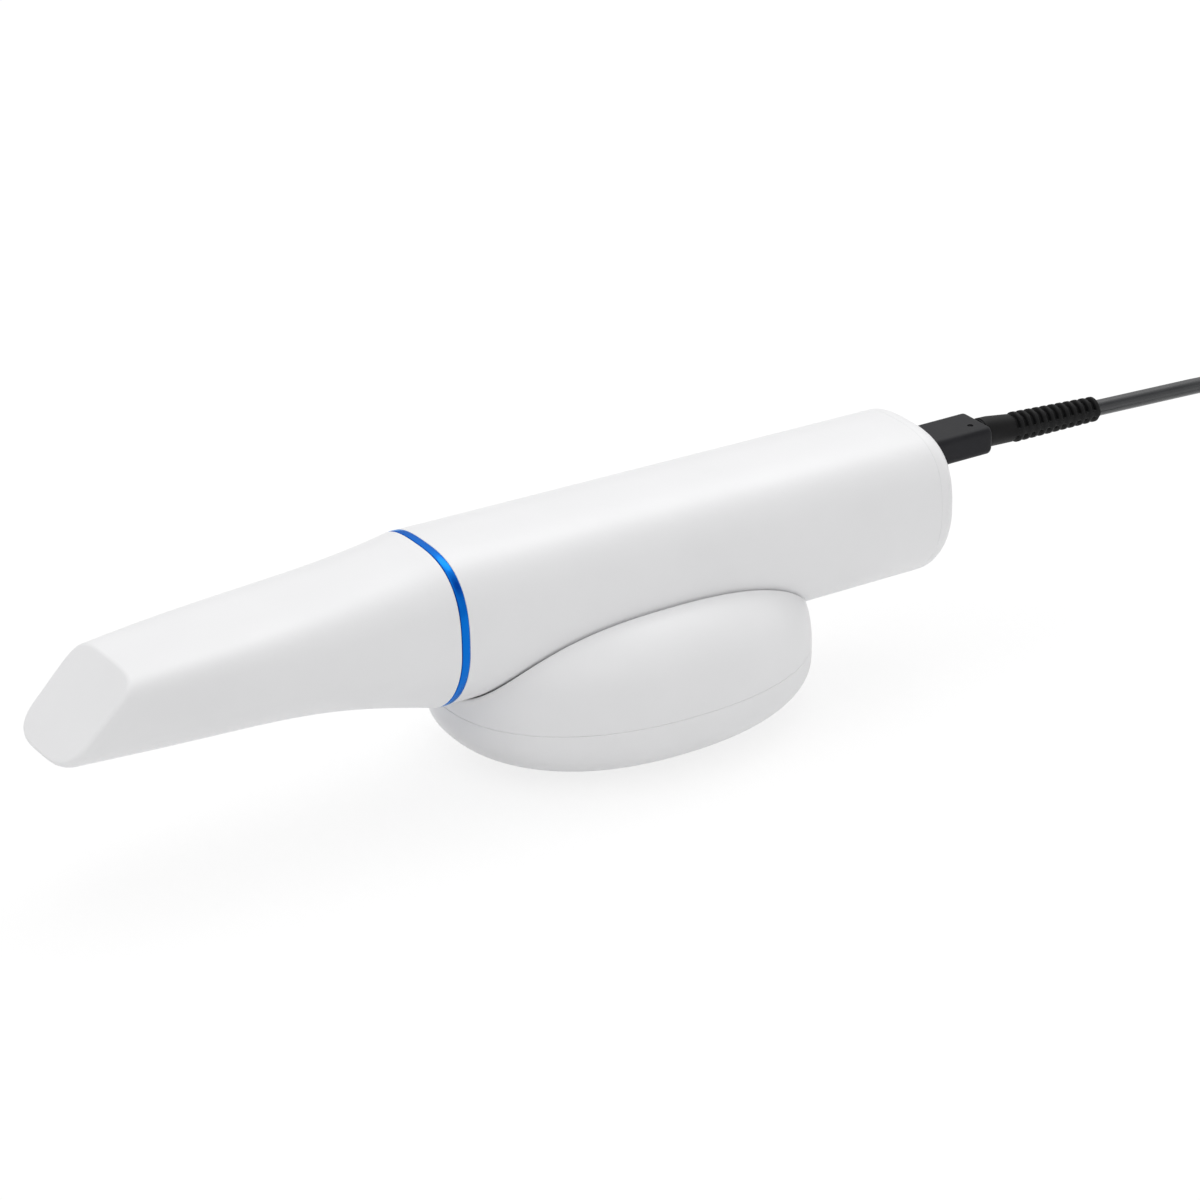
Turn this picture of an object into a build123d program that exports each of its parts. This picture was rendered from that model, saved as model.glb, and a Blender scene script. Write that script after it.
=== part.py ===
from build123d import *
import math
import os

# Handpiece frame: X runs along the handpiece from the front face of the accent ring, with the scan tip
# towards -X and the cable towards +X. Z is up from the handpiece axis. All sizes are in millimetres.

# Overall lengths of the handpiece
tip_length = 94.0
body_length = 136.0
ring_width = 2.0

# Body section, from the axis: it is squarer above and rounder below, and tapers a little to the rear
ring_half_width = 19.4
ring_top = 19.7
ring_bottom = 19.7
rear_half_width = 18.9
rear_top = 18.3
rear_bottom = 19.9
square_top = 2.8
square_bottom = 1.9
section_points = 24
rounding_steps = 5

# Body shell and rear cap
body_wall = 2.0
front_wall = 3.0
cap_length = 5.0
cap_wall = 2.4
cap_rounding = 4.0
spigot_depth = 6.0
spigot_wall = 1.6
spigot_clearance = 0.15

# Scan tip: stations along its length, from the shoulder behind the ring to the slanted end
tip_wall = 1.6
tip_gap = 0.2
shoulder_share = 0.20
shoulder_half_width = 18.1
shoulder_top = 16.95
shoulder_bottom = 14.4
shoulder_square_top = 2.95
shoulder_square_bottom = 1.9
waist_share = 0.46
waist_half_width = 16.95
waist_top = 14.65
waist_bottom = 10.0
waist_square_top = 3.6
waist_square_bottom = 2.1
neck_share = 0.72
neck_half_width = 14.6
neck_top = 12.6
neck_bottom = 7.8
neck_square_top = 4.6
neck_square_bottom = 3.0
end_half_width = 13.0
end_top = 9.6
end_bottom = 5.7
end_square_top = 5.0
end_square_bottom = 3.6
end_lead = 3.0
end_setback = 0.75
end_slope_deg = 45.0
end_wall = 1.8
end_rounding = 1.6
window_length = 14.0
window_width = 17.0
window_corner = 3.0
window_setback = 5.5

# Mirror glued to the inside of the slanted end
mirror_length = 18.4
mirror_width = 15.4
mirror_thickness = 1.2
mirror_corner = 2.5

# Nose that carries the tip: a collar that fits the tip's socket, then a tapered snout with a window
collar_depth = 8.0
collar_half_width = 16.5
collar_top = 16.6
collar_bottom = 15.0
collar_step = 1.5
socket_clearance = 0.3
socket_margin = 1.0
snout_length = 38.0
snout_half_width = 11.9
snout_top = 12.0
snout_bottom = 7.5
channel_width = 20.0
channel_height = 11.0
channel_corner = 4.0
channel_level = 1.5
opening_margin = 1.0
glass_margin = 0.8
glass_thickness = 1.5
glass_clearance = 0.05
band_width = 1.8
band_depth = 1.0
band_setback = 3.4
ring_clearance = 0.1

# Optics: two lens barrels side by side in a cast frame
lens_spacing = 12.6
barrel_diameter = 11.0
barrel_length = 26.0
barrel_setback = 0.2
barrel_bore = 8.4
barrel_stop = 7.0
barrel_clearance = 0.05
lens_seat_depth = 3.4
lens_edge = 1.4
lens_bulge = 0.9
lens_clearance = 0.05
frame_clearance = 0.4
frame_plate = 3.0
frame_setback = 9.0
tray_half_width = 12.4
tray_level = -10.0
tray_thickness = 1.6
rail_thickness = 1.6
low_rail_level = -2.0
saddle_setback = 17.0
saddle_thickness = 5.0
rear_plate_top = 3.0

# Boards and what they carry
board_thickness = 1.2
chip_width = 5.5
chip_thickness = 0.9
optic_board_width = 11.6
optic_board_height = 11.2
optic_board_level = -1.8
sink_length = 11.6
sink_base = 2.0
sink_fin = 1.2
sink_fin_count = 5
main_board_start = 46.0
main_board_overhang = 2.8
processor_setback = 2.0
processor_width = 14.0
processor_thickness = 1.4
spreader_length = 26.0
spreader_width = 22.0
spreader_base = 1.4
spreader_height = 5.0
spreader_fin = 1.3
spreader_fin_count = 6

# Cable socket in the rear cap, and the plug in it
plug_level = 9.0
socket_width = 8.94
socket_height = 3.16
socket_length = 7.5
socket_sheet = 0.25
socket_roundness = 0.48
tongue_length = 6.4
tongue_gap = 0.1
port_clearance = 0.3

# Scan button in the underside, with its board under the tray
button_place = 26.0
button_length = 18.0
button_width = 9.0
button_gap = 0.35
button_flange = 2.0
button_flange_thickness = 1.0
button_lift = 0.3
button_cut_bottom = -30.0
button_cut_top = -8.0
plunger_diameter = 3.0
plunger_height = 0.8
button_board_length = 22.0
button_board_width = 12.0
button_standoff = 1.2
standoff_diameter = 4.0
standoff_spacing = 15.0
switch_width = 6.0
switch_height = 1.6
stem_diameter = 3.2
stem_height = 0.5

# Screws
screw_shank = 2.2
screw_head = 4.2
screw_head_height = 1.6
screw_clearance = 0.1
cut_margin = 1.0
frame_screw_side = 11.5
frame_screw_high = 10.5
frame_screw_low = -12.4
frame_screw_length = 13.0
post_width = 4.0
board_screw_inset = 6.0
board_screw_length = 6.0
cap_screw_side = 7.6
cap_screw_level = -3.6
cap_post_diameter = 6.0
cap_counterbore = 1.8
cap_screw_bite = 2.5

# Desk cradle: a pebble whose plan and sides are superellipses, cut by a saddle for the body
cradle_place = 53.75
cradle_half_length = 46.85
cradle_half_width = 34.0
cradle_squareness = 2.22
cradle_widest = -26.15
cradle_rise = 25.46
cradle_rise_squareness = 3.09
cradle_fall = 14.55
cradle_fall_squareness = 2.33
cradle_foot = -39.0
cradle_crest = 0.96
cradle_parting = -23.24
cradle_wall = 2.2
lip_height = 1.0
lip_thickness = 1.2
lip_clearance = 0.1
saddle_side_gap = 0.5
saddle_floor_gap = 0.15
relief_depth = 1.2
relief_margin = 3.0
pad_half_length = 22.0
pad_half_width = 15.5
pad_thickness = 1.6
pad_proud = 0.8
ballast_half_length = 24.0
ballast_half_width = 16.6
ballast_height = 7.0
cradle_screw_spacing = 30.0
cradle_screw_shank = 2.9
cradle_screw_head = 5.4
cradle_screw_head_height = 2.2
cradle_screw_length = 11.8
cradle_boss = 9.0
cradle_boss_split = -25.6
cradle_seat = -34.5
boss_clearance = 0.3

# Plug, strain relief and cable
plug_length = 22.6
plug_width = 11.0
plug_height = 6.8
plug_rounding = 1.3
plug_step_length = 5.0
plug_step = 1.2
droop_deg = 2.4
neck_length = 7.9
neck_diameter = 6.8
relief_length = 25.8
relief_root = 7.2
relief_tip = 5.6
rib_count = 10
rib_share = 0.6
rib_height = 0.9
relief_overlap = 1.0
cable_diameter = 4.0
cable_straight = 36.0
bend_share = 0.45

# Put-away coil of the cable, and the plug at its far end, in the part's own frame
coil_place_x = 272.0
coil_place_y = -26.0
coil_radius = 22.0
coil_columns = 3
coil_layers = 4
coil_pitch = 4.1
coil_slack = 0.3
tie_thickness = 0.9
tie_width = 12.0
tie_clearance = 0.05
tail_length = 42.0
tail_aside = 1.2
grip_length = 30.0
grip_width = 15.6
grip_height = 8.0
grip_rounding = 2.0
shell_length = 18.7
shell_width = 12.0
shell_height = 4.5
shell_sheet = 0.35
insert_height = 1.9
insert_setback = 1.0

# Places worked out from the sizes above
cap_seam = body_length - cap_length
cavity_start = ring_width + front_wall
frame_end = cap_seam - frame_setback
frame_length = frame_end - cavity_start
processor_place = (main_board_start + frame_end) / 2 - processor_setback
barrel_start = cavity_start + barrel_setback
barrel_end = barrel_start + barrel_length
snout_end = -collar_depth - snout_length
board_level = plug_level - socket_height / 2 - board_thickness
axis_height = -cradle_foot + pad_proud
middle = (body_length - tip_length) / 2
handpiece_frame = Pos(-middle, 0, axis_height)


def egg(x, half_width, top, bottom, high_square, low_square):
    """Closed section across X: a superellipse, with its own height and squareness above and below."""
    points = []
    for index in range(section_points):
        angle = 2 * math.pi * index / section_points
        across = math.cos(angle)
        upward = math.sin(angle)
        square = high_square if upward >= 0 else low_square
        height = top if upward >= 0 else bottom
        y = math.copysign(abs(across) ** (2 / square), across) * half_width
        z = math.copysign(abs(upward) ** (2 / square), upward) * height
        points.append((x, y, z))
    return Wire([Spline(*points, periodic=True)])


def body_section(x, grow=0.0, floor_grow=None):
    """Section of the body at x, grown all round, and by its own amount below when that is given."""
    share = x / body_length
    below = grow if floor_grow is None else floor_grow
    half_width = ring_half_width + share * (rear_half_width - ring_half_width) + grow
    top = ring_top + share * (rear_top - ring_top) + grow
    bottom = ring_bottom + share * (rear_bottom - ring_bottom) + below
    return egg(x, half_width, top, bottom, square_top, square_bottom)


def body_bar(start, end, grow=0.0, floor_grow=None):
    """Solid bar of the body's section between two places along X."""
    sections = [body_section(start, grow, floor_grow), body_section(end, grow, floor_grow)]
    return Solid.make_loft(sections, True)


def tip_bar(shrink):
    """Solid of the tip's outer form, shrunk all round, before the slanted end is cut."""
    ring = (ring_half_width, ring_top, ring_bottom)
    shoulder = (shoulder_half_width, shoulder_top, shoulder_bottom)
    waist = (waist_half_width, waist_top, waist_bottom)
    neck = (neck_half_width, neck_top, neck_bottom)
    end = (end_half_width, end_top, end_bottom)
    stations = (
        (0.0, ring, square_top, square_bottom),
        (shoulder_share, shoulder, shoulder_square_top, shoulder_square_bottom),
        (waist_share, waist, waist_square_top, waist_square_bottom),
        (neck_share, neck, neck_square_top, neck_square_bottom),
        (1.0, end, end_square_top, end_square_bottom),
    )
    sections = []
    for share, sizes, high_square, low_square in stations:
        x = -share * (tip_length + end_lead) - (tip_gap if share == 0.0 else 0.0)
        half_width, top, bottom = [size - shrink for size in sizes]
        sections.append(egg(x, half_width, top, bottom, high_square, low_square))
    return Solid.make_loft(sections)


def end_plane(inset):
    """Plane of the slanted end, moved inwards by inset, with its normal pointing into the tip."""
    slope = math.radians(end_slope_deg)
    inward = Vector(math.sin(slope), 0, -math.cos(slope))
    foot = Vector(-tip_length + end_setback, 0, -end_bottom)
    return Plane(origin=foot + inward * inset, x_dir=(0, 1, 0), z_dir=inward)


def across(x, shape):
    """Places a flat shape, drawn with Y to the right and Z up, across the handpiece at x."""
    return Plane(origin=(x, 0, 0), x_dir=(0, 1, 0), z_dir=(1, 0, 0)) * shape


def rod(x, length, diameter, y=0.0, z=0.0):
    """Round bar along X from x, centred at y and z."""
    return extrude(across(x, Pos(y, z) * Circle(diameter / 2)), amount=length)


def block(x, length, y, width, z, height):
    """Box from its lowest corner x, z and its middle y."""
    return Pos(x, y, z) * Box(length, width, height, align=(Align.MIN, Align.CENTER, Align.MIN))


def screw(shank, length, head, head_height):
    """Cap screw that points along +Z, with the underside of its head at the origin."""
    thread = Cylinder(shank / 2, length, align=(Align.CENTER, Align.CENTER, Align.MIN))
    cap = Cylinder(head / 2, head_height, align=(Align.CENTER, Align.CENTER, Align.MAX))
    return thread + cap


def tip_sleeve():
    """Hollow removable tip with a slanted end and the scan window in its underside."""
    outer = split(tip_bar(0.0), bisect_by=end_plane(0.0), keep=Keep.TOP)
    slanted = outer.faces().filter_by(GeomType.PLANE).sort_by(Axis.X)[0]
    outer = fillet(slanted.edges(), end_rounding)
    hollow = split(tip_bar(tip_wall), bisect_by=end_plane(end_wall), keep=Keep.TOP)
    hollow -= block(-collar_depth - socket_margin, tip_length, 0, tip_length, -tip_length / 2, tip_length)
    socket = egg_bar(-collar_depth - 2 * socket_margin, tip_length, socket_clearance)
    window = window_cut()
    return outer - hollow - socket - window


def egg_bar(start, length, grow):
    """Bar of the collar's section, grown all round, along X from start."""
    half_width = collar_half_width + grow
    top = collar_top + grow
    bottom = collar_bottom + grow
    ends = [egg(x, half_width, top, bottom, square_top, square_bottom) for x in (start, start + length)]
    return Solid.make_loft(ends, True)


def window_cut():
    """Cutter for the scan window, through the underside of the tip below the mirror."""
    sketch = RectangleRounded(window_length, window_width, window_corner)
    middle_x = -tip_length + window_setback + window_length / 2
    height = shoulder_bottom + end_bottom / 2
    return Pos(middle_x, 0, -end_bottom - shoulder_bottom) * extrude(sketch, amount=height)


def tip_mirror():
    """Flat mirror on the inner face of the slanted end."""
    slope = math.radians(end_slope_deg)
    along = (neck_top + end_bottom) / 2 / math.sin(slope) + end_wall / math.tan(slope)
    seat = end_plane(end_wall)
    sketch = Pos(0, along) * RectangleRounded(mirror_width, mirror_length, mirror_corner)
    return extrude(seat * sketch, amount=mirror_thickness)


def nose_barrel():
    """Collar and tapered snout with the optical channel through it."""
    collar = egg_bar(-collar_depth, collar_depth + ring_width, 0.0)
    root = egg(
        -collar_depth,
        collar_half_width - collar_step,
        collar_top - collar_step,
        collar_bottom - collar_step,
        square_top,
        square_bottom,
    )
    front = egg(snout_end, snout_half_width, snout_top, snout_bottom, square_top, square_top)
    nose = collar + Solid.make_loft([root, front], True)
    channel = RectangleRounded(channel_width, channel_height, channel_corner)
    length = collar_depth + snout_length + ring_width
    nose -= extrude(across(snout_end, Pos(0, channel_level) * channel), amount=length)
    nose -= glass(glass_clearance)
    nose -= egg_band(0.0)
    for y, z in frame_screw_places():
        nose -= rod(-frame_screw_reach(), length, screw_shank + screw_clearance, y, z)
    return nose


def glass(grow):
    """Front window of the nose, or the recess for it when grown."""
    width = channel_width + 2 * glass_margin + 2 * grow
    height = channel_height + 2 * glass_margin + 2 * grow
    sketch = RectangleRounded(width, height, channel_corner + glass_margin)
    return extrude(across(snout_end, Pos(0, channel_level) * sketch), amount=glass_thickness)


def egg_band(grow):
    """Soft band in a groove round the collar, which holds the tip on."""
    start = -band_setback - band_width
    return egg_bar(start, band_width, grow) - egg_bar(start, band_width, -band_depth)


def accent_ring():
    """Coloured ring between the tip and the body, round the collar."""
    return body_bar(0.0, ring_width) - egg_bar(-ring_width, 3 * ring_width, ring_clearance)


def frame_screw_places():
    """Places, across the handpiece, of the screws that hold the nose to the frame."""
    high = [(side * frame_screw_side, frame_screw_high) for side in (-1, 1)]
    return high + [(0.0, frame_screw_low)]


def frame_screw_reach():
    """How far the frame's screws reach in front of the ring's front face."""
    return frame_screw_length - cavity_start - frame_plate + screw_clearance


def button_prism(margin):
    """Upright bar of the button's rounded plan, grown by margin."""
    plan = SlotOverall(button_length + 2 * margin, button_width + 2 * margin)
    height = button_cut_top - button_cut_bottom
    return Pos(button_place, 0, button_cut_bottom) * extrude(plan, amount=height)


def body_shell():
    """One-piece moulded tube with a front wall, open at the rear."""
    shell = body_bar(ring_width, cap_seam) - body_bar(cavity_start, body_length, -body_wall)
    opening = RectangleRounded(channel_width + 2 * opening_margin, channel_height, channel_corner)
    shell -= extrude(across(0, Pos(0, channel_level) * opening), amount=2 * cavity_start)
    for y, z in frame_screw_places():
        shell -= rod(0, 2 * cavity_start, screw_shank + screw_clearance, y, z)
    return shell - button_prism(button_gap)


def scan_button():
    """Flush button with a flange inside the shell and a plunger for the switch."""
    inner = body_wall + button_lift
    cap = button_prism(0.0) & body_bar(0, body_length)
    cap -= body_bar(0, body_length, -inner - button_flange_thickness)
    flange = button_prism(button_flange) & body_bar(0, body_length, -inner)
    flange -= body_bar(0, body_length, -inner - button_flange_thickness)
    level = -ring_bottom + inner + button_flange_thickness
    plunger = Pos(button_place, 0, level - button_flange_thickness / 2) * Cylinder(
        plunger_diameter / 2,
        plunger_height + button_flange_thickness / 2,
        align=(Align.CENTER, Align.CENTER, Align.MIN),
    )
    return cap + flange + plunger


def rounded_end():
    """Rear end of the body: its section shrinks along a quarter circle to the flat rear face."""
    sections = [body_section(cap_seam), body_section(body_length - cap_rounding)]
    for index in range(1, rounding_steps + 1):
        angle = math.pi / 2 * index / rounding_steps
        inset = cap_rounding * (1 - math.cos(angle))
        sections.append(body_section(body_length - cap_rounding * (1 - math.sin(angle)), -inset))
    return Solid.make_loft(sections)


def rear_cap():
    """Cap with a rounded rear edge, a spigot in the shell, the port and two screw posts."""
    cap = rounded_end()
    spigot = body_bar(cap_seam - spigot_depth, cap_seam, -body_wall - spigot_clearance)
    inner = -body_wall - spigot_clearance - spigot_wall
    inside = body_bar(cap_seam - 2 * spigot_depth, body_length - cap_wall, inner)
    cap = cap + spigot - inside
    port = RectangleRounded(
        socket_width + 2 * port_clearance,
        socket_height + 2 * port_clearance,
        socket_height / 2,
    )
    cap -= extrude(across(cap_seam, Pos(0, plug_level) * port), amount=2 * cap_length)
    seat = body_length - cap_counterbore
    reach = body_length - frame_end
    for side in (-1, 1):
        y = side * cap_screw_side
        cap += rod(frame_end, reach - cap_wall, cap_post_diameter, y, cap_screw_level)
        cap -= rod(frame_end, reach, screw_shank + screw_clearance, y, cap_screw_level)
        cap -= rod(seat, cap_length, screw_head + 2 * screw_clearance, y, cap_screw_level)
    return cap


def lens_places():
    """Y places of the projector's and the camera's lens barrels."""
    return {"projector": -lens_spacing / 2, "camera": lens_spacing / 2}


def optics_frame():
    """Cast frame: front plate, tray with rails, lens saddle, board posts and rear plate."""
    plate = body_bar(cavity_start, cavity_start + frame_plate, -body_wall - frame_clearance)
    width = 2 * tray_half_width
    frame = plate + block(cavity_start, frame_length, 0, width, tray_level, tray_thickness)
    rail_y = tray_half_width - rail_thickness / 2
    low = low_rail_level - tray_level
    high = board_level - tray_level
    low_length = main_board_start - cavity_start
    high_length = frame_end - main_board_start
    for y in (-rail_y, rail_y):
        frame += block(cavity_start, low_length, y, rail_thickness, tray_level, low)
        frame += block(main_board_start, high_length, y, rail_thickness, tray_level, high)
    saddle_x = cavity_start + saddle_setback
    frame += block(saddle_x, saddle_thickness, 0, width, tray_level, channel_level - tray_level)
    rear_x = frame_end - frame_plate
    frame += block(rear_x, frame_plate, 0, width, tray_level, rear_plate_top - tray_level)
    for x, y in board_screw_places():
        frame += block(x - post_width / 2, post_width, y, post_width, tray_level, board_level - tray_level)
        frame -= Pos(x, y, board_level - board_screw_length) * Cylinder(
            screw_shank / 2 + screw_clearance / 2,
            2 * board_screw_length,
            align=(Align.CENTER, Align.CENTER, Align.MIN),
        )
    for x in button_standoffs():
        frame += Pos(x, 0, tray_level) * Cylinder(
            standoff_diameter / 2,
            button_standoff,
            align=(Align.CENTER, Align.CENTER, Align.MAX),
        )
    bore = barrel_diameter + 2 * barrel_clearance
    for y in lens_places().values():
        frame -= rod(cavity_start - cut_margin, barrel_length + frame_plate, bore, y, channel_level)
    for y, z in frame_screw_places():
        frame -= rod(0, cavity_start + 2 * frame_plate, screw_shank + screw_clearance, y, z)
    hole = screw_shank + screw_clearance
    for y in (-cap_screw_side, cap_screw_side):
        frame -= rod(rear_x - cut_margin, 2 * frame_plate, hole, y, cap_screw_level)
    return frame


def board_screw_places():
    """Places, from above, of the screws that hold the main board on the frame's posts."""
    side = tray_half_width - post_width / 2
    ends = (main_board_start + board_screw_inset, frame_end - board_screw_inset)
    return [(x, y) for x in ends for y in (-side, side)]


def button_standoffs():
    """X places of the standoffs that carry the button's board."""
    return [button_place - standoff_spacing / 2, button_place + standoff_spacing / 2]


def lens_barrel(y):
    """Stepped tube for one lens: a seat at the front, a stop behind it and a plain bore."""
    tube = rod(barrel_start, barrel_length, barrel_diameter, y, channel_level)
    tube -= rod(barrel_start, lens_seat_depth, barrel_bore, y, channel_level)
    tube -= rod(barrel_start, barrel_length, barrel_stop, y, channel_level)
    rear = barrel_start + lens_seat_depth + frame_plate
    return tube - rod(rear, barrel_length, barrel_bore, y, channel_level)


def lens(y):
    """Double convex lens against the stop of its barrel: a disc common to two spheres."""
    radius = barrel_bore / 2 - lens_clearance
    sphere_radius = (radius**2 + lens_bulge**2) / (2 * lens_bulge)
    half = lens_edge / 2 + lens_bulge
    disc = Cylinder(radius, 2 * half)
    for side in (-1, 1):
        disc &= Pos(0, 0, side * (half - sphere_radius)) * Sphere(sphere_radius)
    middle_x = barrel_start + lens_seat_depth - half
    return Pos(middle_x, y, channel_level) * Rot(0, 90, 0) * disc


def optic_board(y):
    """Small board on the rear face of a lens barrel."""
    return block(barrel_end, board_thickness, y, optic_board_width, optic_board_level, optic_board_height)


def optic_chip(y):
    """Chip on an optic board, looking into the barrel's bore."""
    half = chip_width / 2
    start = barrel_end - chip_thickness
    return block(start, chip_thickness, y, chip_width, channel_level - half, chip_width)


def led_heat_sink():
    """Finned block on the back of the light source's board."""
    y = lens_places()["projector"]
    start = barrel_end + board_thickness
    sink = block(start, sink_base, y, optic_board_width, optic_board_level, optic_board_height)
    pitch = (optic_board_height - sink_fin) / (sink_fin_count - 1)
    for index in range(sink_fin_count):
        level = optic_board_level + index * pitch
        sink += block(start, sink_length, y, optic_board_width, level, sink_fin)
    return sink


def main_board():
    """Main circuit board on the frame's rails, running back to the cable socket."""
    length = body_length - cap_wall - main_board_overhang - main_board_start
    board = block(main_board_start, length, 0, 2 * tray_half_width, board_level, board_thickness)
    for x, y in board_screw_places():
        board -= Pos(x, y, board_level) * Cylinder(screw_shank / 2 + screw_clearance, 4 * board_thickness)
    return board


def processor():
    """Main chip on the board."""
    half = processor_width / 2
    top = board_level + board_thickness
    return block(processor_place - half, processor_width, 0, processor_width, top, processor_thickness)


def heat_spreader():
    """Finned plate on the main chip."""
    base = board_level + board_thickness + processor_thickness
    start = processor_place - spreader_length / 2
    plate = block(start, spreader_length, 0, spreader_width, base, spreader_base)
    pitch = (spreader_width - spreader_fin) / (spreader_fin_count - 1)
    for index in range(spreader_fin_count):
        y = -spreader_width / 2 + spreader_fin / 2 + index * pitch
        plate += block(start, spreader_length, y, spreader_fin, base, spreader_height)
    return plate


def cable_socket():
    """Drawn metal shell of the cable socket, open to the rear."""
    outer = RectangleRounded(socket_width, socket_height, socket_height * socket_roundness)
    inner = offset(outer, amount=-socket_sheet)
    start = body_length - cap_wall - socket_length
    shell = extrude(across(start, Pos(0, plug_level) * outer), amount=socket_length)
    return shell - extrude(across(start + socket_sheet, Pos(0, plug_level) * inner), amount=socket_length)


def button_board():
    """Board of the scan button, on standoffs under the tray."""
    level = tray_level - button_standoff - board_thickness
    return block(
        button_place - button_board_length / 2,
        button_board_length,
        0,
        button_board_width,
        level,
        board_thickness,
    )


def button_switch():
    """Tactile switch under the button's board, with its stem down."""
    level = tray_level - button_standoff - board_thickness
    half = switch_width / 2
    case = block(button_place - half, switch_width, 0, switch_width, level - switch_height, switch_height)
    stem = Pos(button_place, 0, level - switch_height) * Cylinder(
        stem_diameter / 2,
        stem_height,
        align=(Align.CENTER, Align.CENTER, Align.MAX),
    )
    return case + stem


def frame_screws():
    """Screws from inside, through the frame and the shell's front wall into the nose."""
    head_face = cavity_start + frame_plate
    part = screw(screw_shank, frame_screw_length, screw_head, screw_head_height)
    return [Pos(head_face, y, z) * Rot(0, -90, 0) * part for y, z in frame_screw_places()]


def board_screws():
    """Screws that hold the main board on the frame's posts."""
    part = screw(screw_shank, board_screw_length, screw_head, screw_head_height)
    top = board_level + board_thickness
    return [Pos(x, y, top) * Rot(180, 0, 0) * part for x, y in board_screw_places()]


def cap_screws():
    """Screws from the rear face through the cap's posts into the frame's rear plate."""
    seat = body_length - cap_counterbore
    length = seat - frame_end + cap_screw_bite
    part = screw(screw_shank, length, screw_head, screw_head_height)
    places = [(seat, side * cap_screw_side, cap_screw_level) for side in (-1, 1)]
    return [Pos(*place) * Rot(0, -90, 0) * part for place in places]


def oval(half_length, half_width, level):
    """Closed plan of the cradle's superellipse at one level."""
    points = []
    for index in range(section_points):
        angle = 2 * math.pi * index / section_points
        along = math.cos(angle)
        sideways = math.sin(angle)
        x = math.copysign(abs(along) ** (2 / cradle_squareness), along) * half_length
        y = math.copysign(abs(sideways) ** (2 / cradle_squareness), sideways) * half_width
        points.append((cradle_place + x, y, level))
    return Wire([Spline(*points, periodic=True)])


def oval_bar(half_length, half_width, level, height):
    """Upright bar of the cradle's plan, from one level upwards."""
    ends = [oval(half_length, half_width, z) for z in (level, level + height)]
    return Solid.make_loft(ends, True)


def pebble(inset):
    """Cradle form, inset all round: ovals whose size follows one superellipse below and one above."""
    half_length = cradle_half_length - inset
    half_width = cradle_half_width - inset
    rise = cradle_rise - inset
    fall = cradle_fall - inset
    foot_share = (cradle_widest - cradle_foot - inset) / fall
    steps = rounding_steps
    ovals = []
    for index in range(steps):
        share = foot_share * math.sin(math.pi / 2 * (steps - index) / steps)
        size = (1 - share**cradle_fall_squareness) ** (1 / cradle_fall_squareness)
        ovals.append(oval(half_length * size, half_width * size, cradle_widest - share * fall))
    for index in range(steps + 1):
        share = cradle_crest * math.sin(math.pi / 2 * index / steps)
        size = (1 - share**cradle_rise_squareness) ** (1 / cradle_rise_squareness)
        ovals.append(oval(half_length * size, half_width * size, cradle_widest + share * rise))
    return Solid.make_loft(ovals)


def cradle_slab(bottom, top):
    """Flat slab that takes one layer of the cradle."""
    return Pos(cradle_place, 0, bottom) * Box(
        3 * cradle_half_length,
        3 * cradle_half_width,
        top - bottom,
        align=(Align.CENTER, Align.CENTER, Align.MIN),
    )


def cradle_screw_places():
    """X places of the cradle's screws, on its middle line."""
    return [cradle_place - cradle_screw_spacing / 2, cradle_place + cradle_screw_spacing / 2]


def upright(x, bottom, top, diameter):
    """Round bar along Z on the cradle's middle line."""
    return Pos(x, 0, bottom) * Cylinder(
        diameter / 2,
        top - bottom,
        align=(Align.CENTER, Align.CENTER, Align.MIN),
    )


def cradle_shell():
    """Upper moulding: the pebble above the parting line, with the saddle and a hollow under it."""
    saddle = body_bar(-ring_width, body_length, saddle_side_gap, saddle_floor_gap)
    side_grow = saddle_side_gap + cradle_wall
    backed = body_bar(-ring_width, body_length, side_grow, saddle_floor_gap + cradle_wall)
    hollow = pebble(cradle_wall) - backed
    shell = (pebble(0.0) & cradle_slab(cradle_parting, 0)) - saddle - hollow
    saddle_under = -ring_bottom - saddle_floor_gap - cradle_wall
    for x in cradle_screw_places():
        post = upright(x, cradle_boss_split, saddle_under + cradle_wall / 2, cradle_boss)
        shell += post
        shell -= upright(x, cradle_boss_split, saddle_under, cradle_screw_shank + screw_clearance)
    relief = button_prism(relief_margin) & body_bar(-ring_width, body_length, relief_depth)
    return shell - relief


def cradle_base():
    """Lower moulding: a bowl with a locating lip, screw bosses and a recess for the foot pad."""
    bowl = (pebble(0.0) & cradle_slab(cradle_foot, cradle_parting)) - pebble(cradle_wall)
    lip_inset = cradle_wall + lip_clearance
    root = pebble(cradle_wall / 2) - pebble(lip_inset + lip_thickness)
    bowl += root & cradle_slab(cradle_parting - lip_thickness, cradle_parting)
    lip = pebble(lip_inset) - pebble(lip_inset + lip_thickness)
    bowl += lip & cradle_slab(cradle_parting, cradle_parting + lip_height)
    for x in cradle_screw_places():
        bowl += upright(x, cradle_foot + cradle_wall / 2, cradle_boss_split, cradle_boss)
        bowl -= upright(x, cradle_foot, cradle_boss_split, cradle_screw_shank + screw_clearance)
        bowl -= upright(x, cradle_foot, cradle_seat, cradle_screw_head + 2 * screw_clearance)
    return bowl - foot_pad()


def foot_pad():
    """Soft oval pad let into the underside of the base."""
    return oval_bar(pad_half_length, pad_half_width, cradle_foot - pad_proud, pad_thickness)


def cradle_ballast():
    """Steel weight on the floor of the base, with holes for the screw bosses."""
    floor = cradle_foot + cradle_wall
    weight = oval_bar(ballast_half_length, ballast_half_width, floor, ballast_height)
    for x in cradle_screw_places():
        weight -= upright(x, floor, floor + ballast_height, cradle_boss + 2 * boss_clearance)
    return weight


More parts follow.
